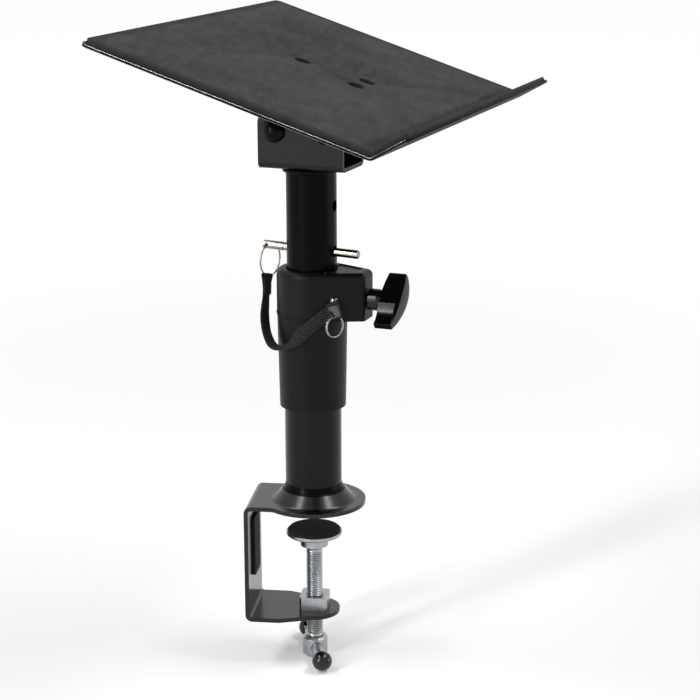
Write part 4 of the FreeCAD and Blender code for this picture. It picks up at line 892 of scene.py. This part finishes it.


# ---------------- tray pad
# Closed-cell EVA foam sheet glued on the tray and its lip, punched over the three screws. It is
# charcoal with 4 cm mottling, scuffs 6 mm wide and 25 mm long, and pores drawn at 1 mm so that they
# show. Its colour is darker in a band along its sides and high edge, and painted shade darkens its
# fold.
pad_start, pad_half, pad_lip, pad_bend = -88.7, 148.0, 25.5, 7.0
pad_flat, *_ = flat_lengths(pad_bend, pad_lip, tray_rise)
foam, tree, shader, spot = new_finish("eva_foam")
cloth_place = add(tree, "ShaderNodeSeparateXYZ", {
    "Vector": add(tree, "ShaderNodeUVMap", uv_map="cloth")})
mottle = add(tree, "ShaderNodeTexNoise", {
    "Vector": spot, "Scale": 24.0, "Detail": 6.0, "Roughness": 0.6})
scuffs = add(tree, "ShaderNodeTexNoise", {
    "Vector": add(tree, "ShaderNodeMapping", {"Vector": spot, "Scale": (1.0, 0.25, 1.0)}),
    "Scale": 160.0, "Detail": 5.0, "Roughness": 0.65})
shade = add(tree, "ShaderNodeMath", {0: mottle, 1: scuffs}, operation="ADD")
shade = add(tree, "ShaderNodeMapRange", {"Value": shade, "From Min": 0.8, "From Max": 1.2})
body_tone = add(tree, "ShaderNodeMix", {
    "Factor": shade, 6: linear("2f2f30"), 7: linear("3d3d3e")}, data_type="RGBA")
# millimetres from the nearest of the sides, the high edge and the fold, made ragged by the scuffs
across = add(tree, "ShaderNodeMath", {0: cloth_place.outputs["Y"]}, operation="ABSOLUTE")
side_gap = add(tree, "ShaderNodeMath", {0: pad_half, 1: across}, operation="SUBTRACT")
high_gap = add(tree, "ShaderNodeMath", {
    0: cloth_place.outputs["X"], 1: -pad_start}, operation="ADD")
fold_gap = add(tree, "ShaderNodeMath", {
    0: cloth_place.outputs["X"], 1: pad_flat}, operation="SUBTRACT")
fold_near = add(tree, "ShaderNodeMath", {0: fold_gap}, operation="ABSOLUTE")
gap = add(tree, "ShaderNodeMath", {0: side_gap, 1: high_gap}, operation="MINIMUM")
gap = add(tree, "ShaderNodeMath", {0: gap, 1: fold_near}, operation="MINIMUM")
ragged = add(tree, "ShaderNodeMath", {0: scuffs, 1: 5.0, 2: -2.5}, operation="MULTIPLY_ADD")
gap = add(tree, "ShaderNodeMath", {0: gap, 1: ragged}, operation="ADD")
# a darker band along the sides and high edge, and painted shade along the fold
border_darkening_and_fold_shade = add(tree, "ShaderNodeMapRange", {
    "Value": gap, "From Min": 8.5, "From Max": 4.0}, interpolation_type="SMOOTHSTEP")
dark_share = add(tree, "ShaderNodeMath", {0: border_darkening_and_fold_shade, 1: 0.55}, operation="MULTIPLY")
tone = add(tree, "ShaderNodeMix", {
    "Factor": dark_share, 6: body_tone.outputs[2], 7: linear("191919")}, data_type="RGBA")
pores = add(tree, "ShaderNodeTexVoronoi", {"Vector": spot, "Scale": 900.0})
pit = add(tree, "ShaderNodeMapRange", {"Value": pores.outputs["Distance"], "From Max": 0.5})
relief = add(tree, "ShaderNodeBump", {"Height": pit, "Strength": 0.2, "Distance": 0.0002})
crease = add(tree, "ShaderNodeBump", {
    "Height": scuffs, "Strength": 0.35, "Distance": 0.0008, "Normal": relief})
wire(tree, shader, {
    "Base Color": tone.outputs[2], "Roughness": 0.9, "Specular IOR Level": 0.12,
    "Normal": crease})
pad = folded(
    "tray_foam", foam, start=pad_start, half_width=pad_half, lip=pad_lip, corner=5.0,
    lip_corner=6.0, bend=pad_bend, hole=5.8, thickness=3.0, lower=tray_rise, rim=0.6)
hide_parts("tray_pad")
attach(pad, "tray")


# ---------------- studio
# A plain white floor just under the stand's lowest point, soft boxes and a white surround.
def seen_straight(tree):
    """1 for what is seen straight, in a mirror or through glass, and 0 for light that it gives."""
    ray = add(tree, "ShaderNodeLightPath")
    seen = add(tree, "ShaderNodeMath", {
        0: ray.outputs["Is Camera Ray"], 1: ray.outputs["Is Glossy Ray"]}, operation="ADD")
    seen = add(tree, "ShaderNodeMath", {
        0: seen, 1: ray.outputs["Is Transmission Ray"]}, operation="ADD", use_clamp=True)
    return seen


# The floor glows a little where it is seen, more with distance, so that it runs into the surround.
floor_finish, tree, shader, spot = new_finish("studio_floor")
seen = seen_straight(tree)
away = add(tree, "ShaderNodeVectorMath", {0: spot}, operation="LENGTH")
glow = add(tree, "ShaderNodeMapRange", {
    "Value": away.outputs["Value"], "From Min": 0.5, "From Max": 2.2,
    "To Min": 0.14, "To Max": 0.62}, interpolation_type="SMOOTHSTEP")
glow = add(tree, "ShaderNodeMath", {0: seen, 1: glow}, operation="MULTIPLY")
wire(tree, shader, {
    "Base Color": linear("ececec"), "Roughness": 0.9, "Specular IOR Level": 0.0,
    "Emission Color": linear("ffffff"), "Emission Strength": glow})
floor_mesh = bpy.data.meshes.new("floor")
reach, level = 8.0, sizes["cad"][0][2] - 0.5 * mm
floor_corners = [(-reach, -reach, level), (reach, -reach, level),
                 (reach, reach, level), (-reach, reach, level)]
floor_mesh.from_pydata(floor_corners, [], [(0, 1, 2, 3)])
floor = bpy.data.objects.new("floor", floor_mesh)
floor_mesh.materials.append(floor_finish)
scene.collection.objects.link(floor)
floor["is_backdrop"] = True

# The surround is white where it is seen and gives less light than that, so that blacks stay black.
world = bpy.data.worlds.new("surround")
scene.world = world
world.use_nodes = True
tree = world.node_tree
tree.nodes.clear()
strength = add(tree, "ShaderNodeMapRange", {
    "Value": seen_straight(tree), "To Min": 0.42, "To Max": 1.0})
backdrop = add(tree, "ShaderNodeBackground", {"Color": linear("ffffff"), "Strength": strength})
add(tree, "ShaderNodeOutputWorld", {"Surface": backdrop})

# bearing, height angle and distance from the stand's middle, then width, height and power
stand_middle = Vector((0, 0, 0.17))
for name, bearing, rise, distance, wide, tall, power in (
    ("left_strip", -128, 20, 1.9, 0.16, 1.5, 22.0),
    ("left_top", -164, 57, 1.8, 1.0, 0.32, 11.0),
    ("right_top", 3, 57, 1.8, 1.1, 0.32, 15.0),
    ("right_low", 8, 0, 1.9, 0.6, 0.3, 4.0),
):
    lamp = bpy.data.lights.new(name, "AREA")
    lamp.shape = "RECTANGLE"
    lamp.size = wide
    lamp.size_y = tall
    lamp.energy = power
    soft_box = bpy.data.objects.new(name, lamp)
    bearing, rise = radians(bearing), radians(rise)
    toward = Vector((cos(rise) * cos(bearing), cos(rise) * sin(bearing), sin(rise)))
    soft_box.location = stand_middle + toward * distance
    soft_box.rotation_euler = (-toward).to_track_quat("-Z", "Y").to_euler()
    soft_box.visible_camera = False
    scene.collection.objects.link(soft_box)

scene.view_settings.view_transform = "Standard"
sizes["visual"] = [list(corner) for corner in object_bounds()]
